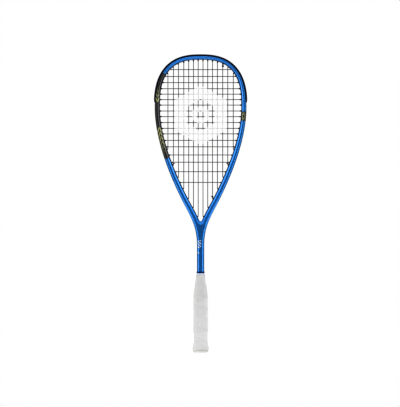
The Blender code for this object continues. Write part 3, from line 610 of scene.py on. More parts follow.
def over_the_top(rim, run, across):
    """Corners of the loop that crosses the racket's centre line at the top."""
    climb = [run + LANE_RAMP, rim.length]
    right = [(rim.below(r, LANE_DEPTH, across), BEND) for r in climb]
    left = [(flip(point, -1.0), radius) for point, radius in right]
    return left + right[-2::-1]


def through(hole, across=0.0):
    """Inner and outer corner of a string in a hole, shifted across the racket's thickness."""
    shift = Vector((0.0, across, 0.0))
    return [(hole.bend + shift, BEND), (hole.exit + shift, BEND)]


def tie_off(rim, shared, toward, turns, far_run, across, ramp=LANE_RAMP):
    """Tail end first: wound beside a hole's own string, out through it and along the groove."""
    own = through(shared, -TWIN)[0][0]
    corners = coil(own, toward, BED_NORMAL, turns)[::-1]
    return corners + through(shared, TWIN) + lane(rim, 1.0, shared.run, far_run, across, ramp)


def coil(start, toward, spoke, turns):
    """Corners of a tail wound round the string that runs from `start` toward its first crossing."""
    inward = (toward - start).normalized()
    spoke = (spoke - inward * spoke.dot(inward)).normalized()
    other = inward.cross(spoke)
    start = start + inward * COIL_START
    corners = [(start + spoke * COIL_RADIUS, 0.0)]
    for k in range(1, turns * COIL_STEPS + 1):
        turn = 2 * math.pi * k / COIL_STEPS
        arm = spoke * math.cos(turn) + other * math.sin(turn)
        height = COIL_PITCH * k / COIL_STEPS
        corners.append((start + inward * height + arm * COIL_RADIUS, 0.0))
    corners.append((corners[-1][0] + other * TAIL, 0.0))
    return corners


def woven(points):
    """A run's corners, swinging smoothly from one side of the string plane to the other."""
    corners = [(points[0], 0.0)]
    for start, end in zip(points, points[1:]):
        for k in range(1, WEAVE_STEPS + 1):
            share = k / WEAVE_STEPS
            point = start.lerp(end, share)
            point.y = start.y + (end.y - start.y) * 0.5 * (1 - math.cos(math.pi * share))
            corners.append((point, 0.0))
    return corners


def main_corners(rim, tops, bottoms):
    """The main string: fourteen runs joined by loops in the groove, both ends tied off."""
    xs = main_positions()

    def hole(holes, i):
        side = 1.0 if xs[i] > 0 else -1.0
        return flip_hole(holes[MAIN_X.index(abs(xs[i]))], side), side

    def tail(i, neighbour):
        """Tie-off of the outermost main in the hole of its neighbour, tail end first."""
        (shared, side), (far, _) = hole(bottoms, neighbour), hole(bottoms, i)
        toward = crossing(neighbour, crosses_of(neighbour)[-1])
        corners = tie_off(rim, flip_hole(shared, side), flip(toward, side), MAIN_TIE_TURNS,
                          far.run, MAIN_LANE, TIE_RAMP)
        return [(flip(point, side), radius) for point, radius in corners]

    def end(holes, i, outward):
        """Corners at one end of a run, in the order they are passed."""
        corners = through(hole(holes, i)[0], -TWIN if shared_hole(holes is tops, i) else 0.0)
        return corners if outward else corners[::-1]

    corners = tail(0, MAIN_TIES[0])
    for i in range(len(xs)):
        downward = i % 2 == 1
        points = [crossing(i, j) for j in crosses_of(i)]
        corners += end(tops if downward else bottoms, i, False)
        corners += woven(points if downward else points[::-1])
        corners += end(bottoms if downward else tops, i, True)
        if i == len(xs) - 1:
            break
        holes = bottoms if downward else tops
        (here, side), (there, _) = hole(holes, i), hole(holes, i + 1)
        if xs[i] < 0 < xs[i + 1]:
            corners += over_the_top(rim, here.run, MAIN_LANE)
        else:
            corners += lane(rim, side, here.run, there.run, MAIN_LANE)
    return corners + tail(len(xs) - 1, MAIN_TIES[1])[::-1]


def shared_hole(at_top, i):
    """Whether a tail is tied off in the hole of main i."""
    return i == CROSS_TIE_TOP if at_top else i in (*MAIN_TIES, CROSS_TIE_BOTTOM)


def main_positions():
    return [-x for x in reversed(MAIN_X)] + list(MAIN_X)


def crosses_of(i):
    """Cross strings passed by a main, top first."""
    return [j for j in range(len(CROSS_GAPS) + 1) if crossed_mains(j)[0] <= i <= crossed_mains(j)[1]]


def crossing(i, j, side=1.0):
    """Centre of the main (side 1) or the cross string (side -1) where main i and cross j meet."""
    lift = side * WEAVE * (-1) ** (i + j)
    return Vector((main_positions()[i], lift, cross_heights()[j]))


def crossed_mains(j):
    """First and last main passed by a cross string."""
    missed = MAINS_MISSED.get(j, 0)
    return missed, 2 * len(MAIN_X) - 1 - missed


def cross_corners(rim, tops, bottoms, sides):
    """The cross string: eighteen runs woven through the mains, both ends tied off on the right."""
    right = len(MAIN_X)  # index of the first main on the right
    tail_run = bottoms[MAIN_TIES[1] - right].run
    corners = tie_off(rim, tops[CROSS_TIE_TOP - right], crossing(CROSS_TIE_TOP, 0),
                      CROSS_TIE_TURNS, sides[0].run, CROSS_LANE)
    for j in range(len(sides)):
        first, last = crossed_mains(j)
        leftward = j % 2 == 0
        points = [crossing(i, j, -1.0) for i in range(first, last + 1)]
        start_side = 1.0 if leftward else -1.0
        here, there = flip_hole(sides[j], start_side), flip_hole(sides[j], -start_side)
        corners += through(here)[::-1] + woven(points[::-1] if leftward else points)
        corners += through(there)
        if j < len(sides) - 1:
            passes_tail = -start_side > 0 and sides[j].run > tail_run > sides[j + 1].run
            across = WIDE_LANE if passes_tail else CROSS_LANE
            corners += lane(rim, -start_side, sides[j].run, sides[j + 1].run, across)
    end = tie_off(rim, bottoms[CROSS_TIE_BOTTOM - right],
                  crossing(CROSS_TIE_BOTTOM, len(sides) - 1), CROSS_TIE_TURNS, sides[-1].run,
                  CROSS_LANE)
    return corners + end[::-1]


# ---- grommet strips and bumper ----

def add_barrels(rim, strip, holes):
    """Join a barrel with a rounded mouth for every hole to a strip and bore them all out."""
    barrels, bores = [], []
    for hole, shared in holes:
        cosine = hole.axis.dot(flip(rim.normal(hole.run), math.copysign(1.0, hole.exit.x)))
        straight = max(0.0, 1 - (1 - hole.axis.dot(hole.pull)) / STRAIGHT_LIMIT)
        tip = hole.bend + hole.axis * (BARREL_MOUTH - BARREL_EXTRA * straight)
        root = hole.exit - hole.axis * ((0.5 * (BASE_TOP + BASE_BOTTOM) - LANE_DEPTH) / cosine)
        above = hole.exit - hole.axis * (0.3 * (BASE_TOP - LANE_DEPTH) / cosine)
        outer, inner = (TWIN_BARREL, TWIN_BORE) if shared else (BARREL_RADIUS, BORE_RADIUS)
        barrels.append(rod(tip, root, outer, BARREL_SHAPE))
        bores.append(rod(tip - hole.axis * BEND_ROOM, above, inner))
    carve(strip, [(mesh_object(strip.name + "_barrels", *gather(barrels)), 'UNION'),
                  (mesh_object(strip.name + "_bores", *gather(bores)), 'DIFFERENCE')])
    settle_normals(strip)


def sweep(rim, frames, section_at):
    """Points and faces of a section carried along (run, side) frames."""
    return loft([[flip(rim.below(run, d, v), side) for d, v in section_at(run)]
                 for run, side in frames])


def build_strip(rim, side, name, holes):
    """Flat strip on the groove's floor along one side."""
    depths = (BASE_BOTTOM, 0.5 * (BASE_BOTTOM + BASE_TOP), BASE_TOP)
    half = [(depth, share * STRIP_HALF) for depth, share in zip(depths, STRIP_EDGE)]
    corners = half + [(d, -v) for d, v in reversed(half)]
    runs = rim.stations(rim.at_height(STRIP_BOTTOM_Z),
                        rim.at_height(BUMPER_END_Z) - 2 * CLEARANCE)
    strip = mesh_object(name, *sweep(rim, [(r, side) for r in runs], lambda run: corners))
    add_barrels(rim, strip, holes)
    return strip


def build_bumper(rim, holes):
    """Guard over the top: a channel for the strings between two rails that cover the edge."""
    start = rim.at_height(BUMPER_END_Z)

    def section_at(run):
        share = min(1.0, (run - start) / BUMPER_TAPER)
        full = math.sin(0.5 * math.pi * share)
        stand = -BUMPER_STAND * (BUMPER_THINNEST + (1 - BUMPER_THINNEST) * full)
        corners = [(depth * MM, across * MM) for depth, across in BUMPER_SKIRT]
        corners += [(part * stand, across * MM) for part, across in BUMPER_RAIL]
        corners.append((BASE_TOP, CHANNEL_HALF))
        half = eased((BASE_BOTTOM, 0.0), corners, (BASE_TOP, 0.0), [BUMPER_EASE] * len(corners))
        return half + [(d, -v) for d, v in reversed(half)]

    runs = rim.stations(start, rim.length)
    frames = [(r, 1.0) for r in runs] + [(r, -1.0) for r in reversed(runs[:-1])]
    bumper = mesh_object("head_bumper", *sweep(rim, frames, section_at))
    add_barrels(rim, bumper, holes)
    return bumper


# ---- handle ----

def facets(half_x, half_y, z, inset=0.0):
    """Level ring in the shape of an eased octagon."""
    nx, ny = FACET_NORMAL
    half_x, half_y = half_x - inset, half_y - inset
    reach = FACET_REACH * (nx * half_x + ny * half_y)
    ring = []
    for k in range(HANDLE_SIDES):
        angle = 2 * math.pi * (k + 0.5) / HANDLE_SIDES
        c, s = abs(math.cos(angle)), abs(math.sin(angle))
        pushes = (c / half_x, s / half_y, (c * nx + s * ny) / reach)
        size = sum(push ** FACET_HARDNESS for push in pushes) ** (-1 / FACET_HARDNESS)
        ring.append(Vector((size * math.cos(angle), size * math.sin(angle), z)))
    return ring


def grip_ring(z, inset=0.0):
    """Ring on the outside of the grip, or a distance inside it."""
    near = np.linspace(z - GRIP_SMOOTHING, z + GRIP_SMOOTHING, 5)
    half_x, half_y = (float(np.mean([profile(level, (GRIP_Z, values)) for level in near]))
                      for values in (GRIP_HALF_WIDTH, GRIP_HALF_DEPTH))
    return facets(half_x, half_y, z, inset)


def build_grip():
    """The band wound up the handle: each turn laps over the one below it."""
    low, high = LIP_Z + CLEARANCE, GRIP_TOP_Z
    count = int((high - low) / GRIP_STEP)
    levels = [low + (high - low) * k / count for k in range(count + 1)]
    outside = []
    for z in levels:
        ring = grip_ring(z)
        edge = min(1.0, (z - low) / GRIP_EDGE, (high - z) / GRIP_EDGE)
        for k, point in enumerate(ring):
            turn = z / WRAP_PITCH - k / HANDLE_SIDES
            climb = (turn - math.floor(turn)) * WRAP_PITCH
            lap = max(0.0, 1 - climb / WRAP_OVERLAP) if climb > LAP_RISE else climb / LAP_RISE
            inward = WRAP_RIDGE * (1 - lap * LAP_HEIGHT) + (1 - edge) ** 2 * GRIP_EDGE_DROP
            radial = Vector((point.x, point.y, 0.0)).normalized()
            ring[k] = point - radial * inward
        outside.append(ring)
    inside = [grip_ring(z, WRAP) for z in reversed(levels[::INNER_RING_STEP] + levels[-1:])]
    verts, faces = loft(outside + inside, closed=True)
    grip = mesh_object("grip_tape", verts, faces)
    settle_normals(grip)
    return grip


def build_butt_cap():
    """Cup with a rounded bottom edge and a shallow ring moulded in its end face."""
    rings = [[Vector((p.x * share, p.y * share, z * MM)) for p in facets(*CAP_FACE, 0.0)]
             for share, z in CAP_END_RING]
    for k in range(CAP_EASE_STEPS + 1):
        turn = 0.5 * math.pi * k / CAP_EASE_STEPS
        height = (LIP_Z - CAP_LIP_EASE) * (1 - math.cos(turn))
        rings.append(facets(*CAP_TOP, height, CAP_EASE * (1 - math.sin(turn))))
    rings.append(facets(*CAP_TOP, LIP_Z, CAP_LIP_EASE))
    outside = WRAP + CLEARANCE
    levels = [LIP_Z, *CAP_SLEEVE_Z]
    rings += [grip_ring(z, outside) for z in levels]
    rings += [grip_ring(z, outside + CAP_WALL) for z in reversed(levels)]
    rings.append([Vector((p.x, p.y, CAP_FLOOR)) for p in rings[-1]])
    cap = mesh_object("handle_end_cap", *loft(rings))
    settle_normals(cap)
    return cap


def shaft_ring(z, stand_off):
    """Level ring that follows the shaft's own eased section at a distance from it."""
    beam = profile(z, BEAM_PROFILE)
    row = Row(None, None, None, None, profile(z, WIDTH_PROFILE), beam, 0.0, 0.0)
    outer, _ = section(row)
    grow_x, grow_y = 1 + stand_off / SHAFT_HALF_WIDTH, 1 + stand_off / beam
    right = [((SHAFT_HALF_WIDTH - d) * grow_x, v * grow_y) for d, v in outer]
    right = [(x, -y) for x, y in reversed(right)] + right
    return [Vector((x, y, z)) for x, y in right + [(-x, -y) for x, y in right]]


def build_band(name, levels, thickness):
    """Band round the shaft with eased rims."""
    low, high = levels
    ease = BAND_EASE * thickness
    steps = [(low, 1 - BAND_EASE), (low + ease, 1.0), (high - ease, 1.0), (high, 1 - BAND_EASE)]
    outer = [shaft_ring(z, CLEARANCE + thickness * share) for z, share in steps]
    inner = [shaft_ring(z, CLEARANCE) for z in (high, low)]
    band = mesh_object(name, *loft(outer + inner, closed=True))
    settle_normals(band)
    return band


# ---- materials ----

class Graph:
    """Short-hand for building a node graph."""

    def __init__(self, tree):
        self.tree = tree

    def put(self, socket, value):
        """Link another node's output to a socket, or set the socket's own value."""
        if isinstance(value, bpy.types.NodeSocket):
            self.tree.links.new(value, socket)
        elif isinstance(value, tuple) and len(value) == 3 and socket.type == 'RGBA':
            socket.default_value = (*value, 1.0)
        else:
            socket.default_value = value

    def node(self, kind, values=None, **settings):
        made = self.tree.nodes.new("ShaderNode" + kind)
        for name, value in settings.items():
            setattr(made, name, value)
        for key, value in (values or {}).items():
            self.put(made.inputs[key], value)
        return made

    def math(self, operation, *values):
        made = self.node("Math", operation=operation)
        for socket, value in zip(made.inputs, values):
            self.put(socket, value)
        return made.outputs[0]

    def product(self, *values):
        return reduce(lambda a, b: self.math('MULTIPLY', a, b), values)

    def total(self, *values):
        return reduce(lambda a, b: self.math('ADD', a, b), values)

    def between(self, value, low, high):
        """1 where a value lies between two limits, otherwise 0."""
        return self.math('MULTIPLY', self.math('GREATER_THAN', value, low),
                         self.math('LESS_THAN', value, high))

    def spread(self, value, low, high, first=0.0, last=1.0, **settings):
        """A value's range from low to high spread over first to last, held at the ends."""
        made = self.node("MapRange", {0: value, 1: low, 2: high, 3: first, 4: last}, **settings)
        return made.outputs[0]

    def mix(self, share, first, second):
        made = self.node("Mix", {0: share, 6: first, 7: second}, data_type='RGBA')
        return made.outputs[2]

    def where(self):
        """Coordinates in the racket's own frame."""
        return self.node("TexCoord").outputs["Object"]

    def place(self):
        """Coordinates in the racket's own frame, and their three parts."""
        where = self.where()
        return where, *self.node("SeparateXYZ", {0: where}).outputs

    def field(self, name):
        """A value stored on the mesh's points."""
        return self.node("Attribute", attribute_name=name).outputs["Fac"]

    def noise(self, where, scale, detail=2.0, roughness=0.5):
        made = self.node("TexNoise", {"Vector": where, "Scale": scale, "Detail": detail,
                                      "Roughness": roughness})
        return made.outputs["Fac"]

    def cells(self, where, scale, output="Distance"):
        made = self.node("TexVoronoi", {"Vector": where, "Scale": scale})
        return made.outputs[output]

    def bump(self, height, distance, strength=1.0, below=None):
        """Surface relief of a height map; distance is its depth in metres."""
        values = {"Height": height, "Distance": distance, "Strength": strength}
        if below is not None:
            values["Normal"] = below
        return self.node("Bump", values).outputs["Normal"]


class Finish(Graph):
    """One material: its graph and its main shader."""

    def __init__(self, name, **surface):
        self.material = bpy.data.materials.new(name)
        self.material.use_nodes = True
        super().__init__(self.material.node_tree)
        self.shader = self.tree.nodes["Principled BSDF"]
        self.surface(**surface)

    def surface(self, **values):
        """Set sockets of the shader by their names, with underscores for spaces."""
        for name, value in values.items():
            self.put(self.shader.inputs[name.replace("_", " ")], value)


CHEVRON_PERIOD = 10.8 * MM
CHEVRON_SLOPE = 1.7
CHEVRON_SHARE = 0.62
# Black panels: side of the racket (-1 left) and heights in millimetres between which they run
PANELS = ((-1, 444.5, 645.5), (1, 532.5, 554.5))
# Runs of lime chevrons: side, height at which one starts, direction along the rim, length in
# millimetres over which it fades
CHEVRON_RUNS = ((-1, 575.0, 1, 40.0), (-1, 519.0, -1, 72.0), (1, 534.0, 1, 11.0),
                (1, 553.0, -1, 11.0))
# Patches of slanted white bars on the shaft's front: low and high z, low and high x, millimetres
MARK_PATCHES = ((240.5, 259.0, -6.6, 1.2), (225.5, 232.0, -6.6, -3.2))
MARK_PERIOD, MARK_SHARE, MARK_SLANT = 6.4 * MM, 0.45, 0.9
BLUE_DEEP, BLUE_LIGHT = (0.001, 0.275, 0.700), (0.002, 0.335, 0.790)
BLUE_CLOUD = (0.001, 0.230, 0.690)
BLACK_DEEP, BLACK_LIGHT = (0.010, 0.010, 0.013), (0.022, 0.022, 0.026)
LIME, MARK_WHITE = (0.52, 0.54, 0.22), (0.80, 0.82, 0.85)
# painted shade: dark navy laid on the frame's inner wall
INNER_SHADE_BLUE = (0.001, 0.008, 0.060)
INNER_SHADE_Z = 25 * MM  # length above the throat over which the inner wall's painted shade fades in


def chevrons(paint, along, across, start, direction, length):
    """Stripes that fade out from a hard start: 1 where the ink is full."""
    ahead = paint.math('MULTIPLY', paint.math('SUBTRACT', along, start), direction)
    lean = paint.math('MULTIPLY', paint.math('ABSOLUTE', across), CHEVRON_SLOPE)
    phase = paint.math('DIVIDE', paint.math('SUBTRACT', ahead, lean), CHEVRON_PERIOD)
    stripe = paint.math('LESS_THAN', paint.math('FRACT', phase), CHEVRON_SHARE)
    return paint.product(stripe, paint.math('GREATER_THAN', phase, 0.0),
                         paint.math('GREATER_THAN', ahead, 0.0),
                         paint.spread(ahead, 0.0, length, 1.0, 0.0))


def frame_paint(rim):
    """Metallic blue lacquer with black panels, lime chevrons, a few white marks and painted shade on
    the inner wall.
    """
    paint = Finish("frame_paint", Coat_Weight=1.0, Coat_Roughness=0.07, Coat_IOR=1.8)
    where, x, y, z = paint.place()
    along, across = paint.field("along"), paint.field("across")
    on_side = {-1: paint.math('LESS_THAN', x, 0.0), 1: paint.math('GREATER_THAN', x, 0.0)}

    def at(height):
        return rim.at_height(height * MM)

    panel = paint.total(*(paint.product(on_side[side], paint.between(along, at(low), at(high)))
                          for side, low, high in PANELS))
    lime = paint.total(*(
        paint.product(on_side[side],
                      chevrons(paint, along, across, at(start), float(direction), length * MM))
        for side, start, direction, length in CHEVRON_RUNS))

    flakes = paint.cells(where, 5200.0, "Color")
    tone = paint.node("SeparateColor", {0: flakes}).outputs[0]
    cloud = paint.noise(where, 26.0, 3.0)
    blue = paint.mix(paint.spread(tone, 0.1, 0.9), BLUE_DEEP, BLUE_LIGHT)
    blue = paint.mix(paint.spread(cloud, 0.3, 0.7, 0.0, 0.35), blue, BLUE_CLOUD)
    black = paint.mix(paint.spread(tone, 0.2, 0.9), BLACK_DEEP, BLACK_LIGHT)
    body = paint.mix(panel, blue, paint.mix(lime, black, LIME))

    lean = paint.math('ADD', z, paint.math('MULTIPLY', x, MARK_SLANT))
    bars = paint.math('LESS_THAN',
                      paint.math('FRACT', paint.math('DIVIDE', lean, MARK_PERIOD)), MARK_SHARE)
    patches = paint.total(*(
        paint.product(paint.between(z, low * MM, high * MM),
                      paint.between(x, left * MM, right * MM))
        for low, high, left, right in MARK_PATCHES))
    marks = paint.product(bars, patches, paint.math('LESS_THAN', y, 0.0))
    body = paint.mix(marks, body, MARK_WHITE)

    inked = paint.math('MAXIMUM', marks, paint.math('MULTIPLY', lime, panel))
    metal = paint.mix(panel, (0.88, 0.88, 0.88), (0.25, 0.25, 0.25))
    metal = paint.mix(inked, metal, (0.0, 0.0, 0.0))
    throat = throat_fit(rim)[0]
    # Painted shade: the inner wall turns dark navy and less metallic, fading in above the throat
    painted_inner_shade = paint.product(paint.spread(paint.field("inside"), 0.8 * MM, 1.9 * MM, 1.0, 0.0),
                               paint.spread(along, throat, throat + INNER_SHADE_Z))
    body = paint.mix(painted_inner_shade, body, INNER_SHADE_BLUE)
    metal = paint.mix(painted_inner_shade, metal, (0.3, 0.3, 0.3))
    scuffs = paint.noise(where, 900.0, 4.0, 0.7)
    rough = paint.math('ADD', paint.spread(tone, 0.0, 1.0, 0.25, 0.33),
                       paint.spread(scuffs, 0.62, 0.75, 0.0, 0.12))
    relief = paint.bump(tone, 0.004 * MM, 0.4, paint.bump(inked, 0.03 * MM, 0.6))
    coat = paint.bump(paint.noise(where, 420.0, 1.0), 0.030 * MM, 0.5)
    paint.surface(Base_Color=body, Metallic=metal, Roughness=rough, Normal=relief,
                  Coat_Normal=coat)
    return paint.material


def grained(name, noise, colours, rough, relief, stretch=None, **surface):
    """Plain material whose tint, gloss and relief all follow one fine grain."""
    finish = Finish(name, **surface)
    where = finish.where()
    if stretch:
        where = finish.node("Mapping", {0: where, 3: stretch}).outputs[0]
    grain = finish.noise(where, *noise)
    finish.surface(Base_Color=finish.mix(grain, *colours),
                   Roughness=finish.spread(grain, 0.3, 0.7, *rough),
                   Normal=finish.bump(grain, *relief))
    return finish.material


def grommet_plastic():
    """Black nylon of the strips and barrels."""
    return grained("grommet_plastic", noise=(3200.0, 2.0),
                   colours=((0.006, 0.006, 0.008), (0.014, 0.014, 0.017)),
                   rough=(0.36, 0.52), relief=(0.02 * MM, 0.6), IOR=1.50)


def tape_white():
    """Glossy white finishing tape with a fine grain round the shaft."""
    return grained("tape_white", noise=(1.0, 3.0),
                   colours=((0.80, 0.86, 0.96), (0.88, 0.92, 1.0)),
                   rough=(0.30, 0.46), relief=(0.03 * MM, 0.5),
                   stretch=(400.0, 400.0, 5200.0),
                   IOR=1.50, Coat_Weight=0.3, Coat_Roughness=0.2)


def collar_rubber():
    """Matt rubber of the ring above the tape."""
    return grained("collar_rubber", noise=(2200.0, 4.0, 0.65),
                   colours=((0.002, 0.020, 0.140), (0.004, 0.032, 0.200)),
                   rough=(0.50, 0.72), relief=(0.05 * MM, 0.7), IOR=1.50)


def bumper_plastic():
    """Moulded guard: very dark blue, satin, finely grained and lightly scuffed."""
    plastic = Finish("bumper_plastic", IOR=1.48, Specular_IOR_Level=0.25)
    where = plastic.where()
    grain = plastic.noise(where, 2600.0, 3.0, 0.6)
    scuffs = plastic.noise(where, 240.0, 5.0, 0.75)
    worn = plastic.spread(scuffs, 0.58, 0.74)
    colour = plastic.mix(plastic.spread(grain, 0.35, 0.65), (0.0030, 0.0090, 0.034),
                         (0.0055, 0.0150, 0.050))
    plastic.surface(Base_Color=plastic.mix(worn, colour, (0.018, 0.030, 0.070)),
                    Roughness=plastic.spread(scuffs, 0.4, 0.75, 0.38, 0.62),
                    Normal=plastic.bump(plastic.math('ADD', grain, worn), 0.035 * MM, 0.7))
    return plastic.material


STRING_TWIST, STRING_PLIES = 420.0, 6.0  # turns in a metre of string and strands in it
STENCIL_CENTRE = 546.6 * MM
STENCIL_RINGS = ((32.0 * MM, 60.0 * MM), (9.0 * MM, 19.0 * MM))  # distances to the hexagons' sides


def string_finish(name):
    """Twisted multifilament in black, with two plain white hexagon rings inked on the bed."""
    string = Finish(name, IOR=1.50, Sheen_Weight=0.15, Sheen_Roughness=0.4)
    where, x, _, z = string.place()
    wobble = string.spread(string.noise(where, 600.0, 3.0), 0.0, 1.0, -0.5 * MM, 0.5 * MM)
    rise = string.math('MULTIPLY', string.math('SUBTRACT', z, STENCIL_CENTRE), math.sqrt(0.75))
    half = string.math('MULTIPLY', x, 0.5)
    hexagon = string.math('ABSOLUTE', x)
    for operation in ('ADD', 'SUBTRACT'):
        side = string.math('ABSOLUTE', string.math(operation, half, rise))
        hexagon = string.math('MAXIMUM', hexagon, side)
    edge = string.math('ADD', hexagon, wobble)
    rings = [string.between(edge, low, high) for low, high in STENCIL_RINGS]
    worn = string.spread(string.noise(where, 1700.0, 4.0, 0.7), 0.30, 0.42)
    ink = string.product(string.total(*rings), string.spread(worn, 0.0, 1.0, 0.72, 1.0))

    lay = string.node("UVMap", uv_map="surface").outputs[0]
    parts = string.node("SeparateXYZ", {0: lay})
    turn = string.math('ADD', string.math('MULTIPLY', parts.outputs[0], STRING_TWIST),
                       string.math('MULTIPLY', parts.outputs[1], STRING_PLIES))
    fibre = string.math('SINE', string.math('MULTIPLY', turn, 2 * math.pi))
    fuzz = string.noise(where, 5200.0, 3.0, 0.6)
    dark = string.mix(string.spread(fibre, -1.0, 1.0), (0.006, 0.006, 0.007),
                      (0.020, 0.020, 0.022))
    dark = string.mix(string.spread(fuzz, 0.55, 0.8), dark, (0.040, 0.040, 0.042))
    string.surface(Base_Color=string.mix(ink, dark, (0.88, 0.88, 0.88)),
                   Roughness=string.math('ADD', string.spread(fuzz, 0.3, 0.7, 0.30, 0.46),
                                         string.math('MULTIPLY', ink, 0.25)),
                   Normal=string.bump(string.math('ADD', fibre, fuzz), 0.03 * MM, 0.7))
    return string.material


def handle_foam():
    """Closed-cell foam of the two pallets inside the grip."""
    foam = Finish("handle_foam", IOR=1.45)
    where = foam.where()
    cells = foam.cells(where, 1500.0)
    tint = foam.noise(where, 60.0, 3.0)
    foam.surface(Base_Color=foam.mix(tint, (0.10, 0.10, 0.105), (0.17, 0.17, 0.175)),
                 Roughness=foam.spread(cells, 0.0, 0.6, 0.95, 0.75),
                 Normal=foam.bump(cells, 0.2 * MM, 0.8))
    return foam.material


def cap_plastic():
    """Soft satin plastic of the butt cap, slightly warm beside the grip."""
    plastic = Finish("cap_plastic", IOR=1.46)
    where, _, _, z = plastic.place()
    grain = plastic.noise(where, 2400.0, 3.0, 0.6)
    dust = plastic.noise(where, 90.0, 4.0, 0.6)
    # darker towards the bottom of the cap
    low = plastic.spread(z, 0.0, 3.0 * MM, 0.15, 0.0)
    cap_tone = plastic.mix(plastic.spread(dust, 0.35, 0.7), (0.77, 0.76, 0.745),
                        (0.70, 0.69, 0.675))
    plastic.surface(Base_Color=plastic.mix(low, cap_tone, (0.50, 0.49, 0.47)),
                    Roughness=plastic.spread(dust, 0.3, 0.7, 0.48, 0.66),
                    Normal=plastic.bump(grain, 0.04 * MM, 0.6))
    return plastic.material


def grip_band():
    """White polyurethane grip: pores, a soft leathery crease and faint handling marks."""
    grip = Finish("grip_band", IOR=1.45, Sheen_Weight=0.25, Sheen_Roughness=0.5)
    where, x, y, z = grip.place()
    angle = grip.math('DIVIDE', grip.math('ARCTAN2', y, x), 2 * math.pi)
    climb = grip.math('ADD', grip.math('DIVIDE', z, WRAP_PITCH), angle)
    band = grip.math('FRACT', climb)
    seam = grip.math('SUBTRACT', 1.0, grip.spread(grip.math('PINGPONG', climb, 0.5), 0.0, 0.035))
    pores = grip.cells(where, 1250.0)
    pore = grip.math('SUBTRACT', 1.0, grip.spread(pores, 0.10, 0.26))
    crease = grip.noise(where, 520.0, 4.0, 0.65)
    soil = grip.noise(where, 38.0, 4.0, 0.6)
    colour = grip.mix(grip.spread(soil, 0.38, 0.72), (0.77, 0.77, 0.77), (0.70, 0.70, 0.695))
    colour = grip.mix(grip.math('MULTIPLY', pore, 0.30), colour, (0.45, 0.45, 0.45))
    colour = grip.mix(grip.math('MULTIPLY', seam, 0.22), colour, (0.45, 0.45, 0.46))
    relief = grip.bump(grip.math('SUBTRACT', 1.0, pore), 0.06 * MM, 0.6)
    relief = grip.bump(crease, 0.06 * MM, 0.5, relief)
    grip.surface(Base_Color=colour, Normal=relief,
                 Roughness=grip.math('ADD', grip.spread(crease, 0.3, 0.7, 0.52, 0.70),
                                     grip.math('MULTIPLY', band, 0.04)))
    return grip.material


# ---- the racket ----

def fit(piece, material, slot, *nodes):
    """Give a piece its finish and put it in the place of CAD nodes."""
    piece.data.materials.clear()
    piece.data.materials.append(material)
    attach(piece, "root")
    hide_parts(*nodes)


def build_racket():
    rim = Rim()
    tops, bottoms, sides = string_holes(rim)
    guarded = sum(hole.exit.z > BUMPER_END_Z for hole in sides)
    head, strips = [], {1.0: [], -1.0: []}
    xs = main_positions()
    for side in (1.0, -1.0):
        for x, top, bottom in zip(MAIN_X, tops, bottoms):
            i = xs.index(side * x)
            head.append((flip_hole(top, side), shared_hole(True, i)))
            strips[side].append((flip_hole(bottom, side), shared_hole(False, i)))
        head += [(flip_hole(h, side), False) for h in sides[:guarded]]
        strips[side] += [(flip_hole(h, side), False) for h in sides[guarded:]]
    fit(build_frame(rim, head + strips[1.0] + strips[-1.0]), frame_paint(rim), "frame_paint",
        "frame")
    fit(build_bumper(rim, head), bumper_plastic(), "bumper_plastic", "bumper_guard")
    nylon = grommet_plastic()
    for side, name in ((-1.0, "left"), (1.0, "right")):
        strip = build_strip(rim, side, f"side_grommets_{name}", strips[side])
        fit(strip, nylon, "grommet_plastic", f"grommet_strip_{name}")
    inked = string_finish("string_black")
    for name, corners, node in (
            ("strings_lengthwise", main_corners(rim, tops, bottoms), "main_string"),
            ("strings_crosswise", cross_corners(rim, tops, bottoms, sides), "cross_string")):
        fit(string_tube(name, rounded(corners)), inked, "string_black", node)
    fit(build_butt_cap(), cap_plastic(), "cap_plastic", "butt_cap")
    fit(build_grip(), grip_band(), "grip_band", "grip_wrap")
    fit(build_band("grip_finishing_tape", TAPE_Z, TAPE_THICKNESS), tape_white(), "tape_white",
        "finishing_tape")
    fit(build_band("collar_ring", COLLAR_Z, COLLAR_THICKNESS), collar_rubber(), "collar_rubber",
        "shaft_collar")
    foam = handle_foam()
    for name in ("handle_pallet_front", "handle_pallet_back"):
        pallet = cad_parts[name]
        pallet.data.materials.clear()
        pallet.data.materials.append(foam)


# ---- studio ----

CAMERA_DISTANCE = 6.0
CAMERA_HEIGHT = 343.0 * MM
CAMERA_SIDE = -1.38 * MM
VIEW_HEIGHT = 936.8 * MM  # height of the picture at the racket
SENSOR = 36.0
FLOOR_RADIUS = 0.9
FLOOR_SIDES = 96
FLOOR_Z = -0.2 * MM  # just clear of the butt cap's face
LIGHT_TARGET = (0.0, 0.0, 0.4)
# Soft lights: name, place, width, height and power
SOFTBOXES = (("side_light", (-2.0, -0.35, 0.6), 0.5, 3.0, 10.5),
             ("side_light", (2.0, -0.35, 0.6), 0.5, 3.0, 10.5),
             ("front_light", (-0.6, -4.0, 2.6), 1.6, 1.2, 24.0))
ROOM_WALL, ROOM_CEILING = 0.50, 1.45  # brightness of the surroundings, low and high
ROOM_BLEND = (0.25, 0.95)  # the walls give way to the ceiling between these heights in the sky
VIEW_GAMMA = 0.58


def build_camera():
    data = bpy.data.cameras.new("camera")
    data.sensor_width = SENSOR
    data.lens = SENSOR * CAMERA_DISTANCE / VIEW_HEIGHT
    data.clip_end = 100.0
    camera = bpy.data.objects.new("camera", data)
    camera.location = (CAMERA_SIDE, -CAMERA_DISTANCE, CAMERA_HEIGHT)
    camera.rotation_euler = (math.pi / 2, 0.0, 0.0)
    bpy.context.scene.collection.objects.link(camera)
    bpy.context.scene.camera = camera


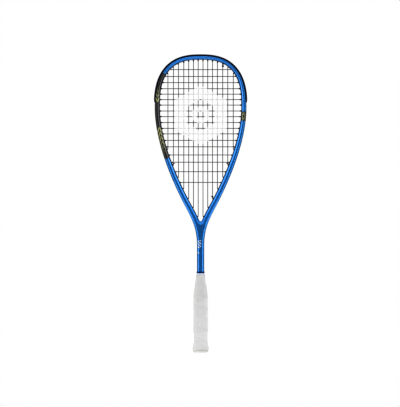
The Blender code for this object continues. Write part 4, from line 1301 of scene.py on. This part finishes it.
def build_floor():
    """Plain pale round floor under the racket."""
    ring = [Vector((FLOOR_RADIUS * math.cos(a), FLOOR_RADIUS * math.sin(a), FLOOR_Z))
            for a in np.linspace(0.0, 2 * math.pi, FLOOR_SIDES, endpoint=False)]
    floor = mesh_object("floor", ring, [tuple(range(len(ring)))])
    pale = Finish("floor_pale", Roughness=0.9, Emission_Color=(1.0, 1.0, 1.0),
                  Emission_Strength=0.4)
    speckle = pale.noise(pale.where(), 300.0, 3.0)
    pale.surface(Base_Color=pale.mix(speckle, (0.88, 0.88, 0.88), (0.92, 0.92, 0.92)))
    floor.data.materials.append(pale.material)


def softbox(name, place, width, height, power):
    """Large soft area light aimed at the racket."""
    data = bpy.data.lights.new(name, 'AREA')
    data.shape = 'RECTANGLE'
    data.size, data.size_y = width, height
    data.energy = power
    light = bpy.data.objects.new(name, data)
    light.location = place
    aim = Vector(LIGHT_TARGET) - Vector(place)
    light.rotation_euler = aim.to_track_quat('-Z', 'Y').to_euler()
    light.visible_camera = False
    bpy.context.scene.collection.objects.link(light)


def build_studio():
    """White surroundings for the camera; for light, a bright ceiling over dimmer walls."""
    world = bpy.data.worlds.new("studio")
    world.use_nodes = True
    sky = Graph(world.node_tree)
    backdrop = sky.tree.nodes["Background"]
    sky.put(backdrop.inputs["Color"], (1.0, 1.0, 1.0))
    height = sky.node("SeparateXYZ", {0: sky.node("TexCoord").outputs["Generated"]}).outputs[2]
    glow = sky.spread(height, *ROOM_BLEND, ROOM_WALL, ROOM_CEILING,
                      interpolation_type='SMOOTHSTEP')
    room = sky.node("Background", {"Strength": glow})
    seen = sky.node("LightPath").outputs["Is Camera Ray"]
    choose = sky.node("MixShader", {0: seen, 1: room.outputs[0], 2: backdrop.outputs[0]})
    sky.put(sky.tree.nodes["World Output"].inputs["Surface"], choose.outputs[0])
    bpy.context.scene.world = world
    for settings in SOFTBOXES:
        softbox(*settings)
    bpy.context.scene.view_settings.view_transform = 'Standard'
    bpy.context.scene.view_settings.gamma = VIEW_GAMMA


build_camera()
build_floor()
build_studio()
build_racket()
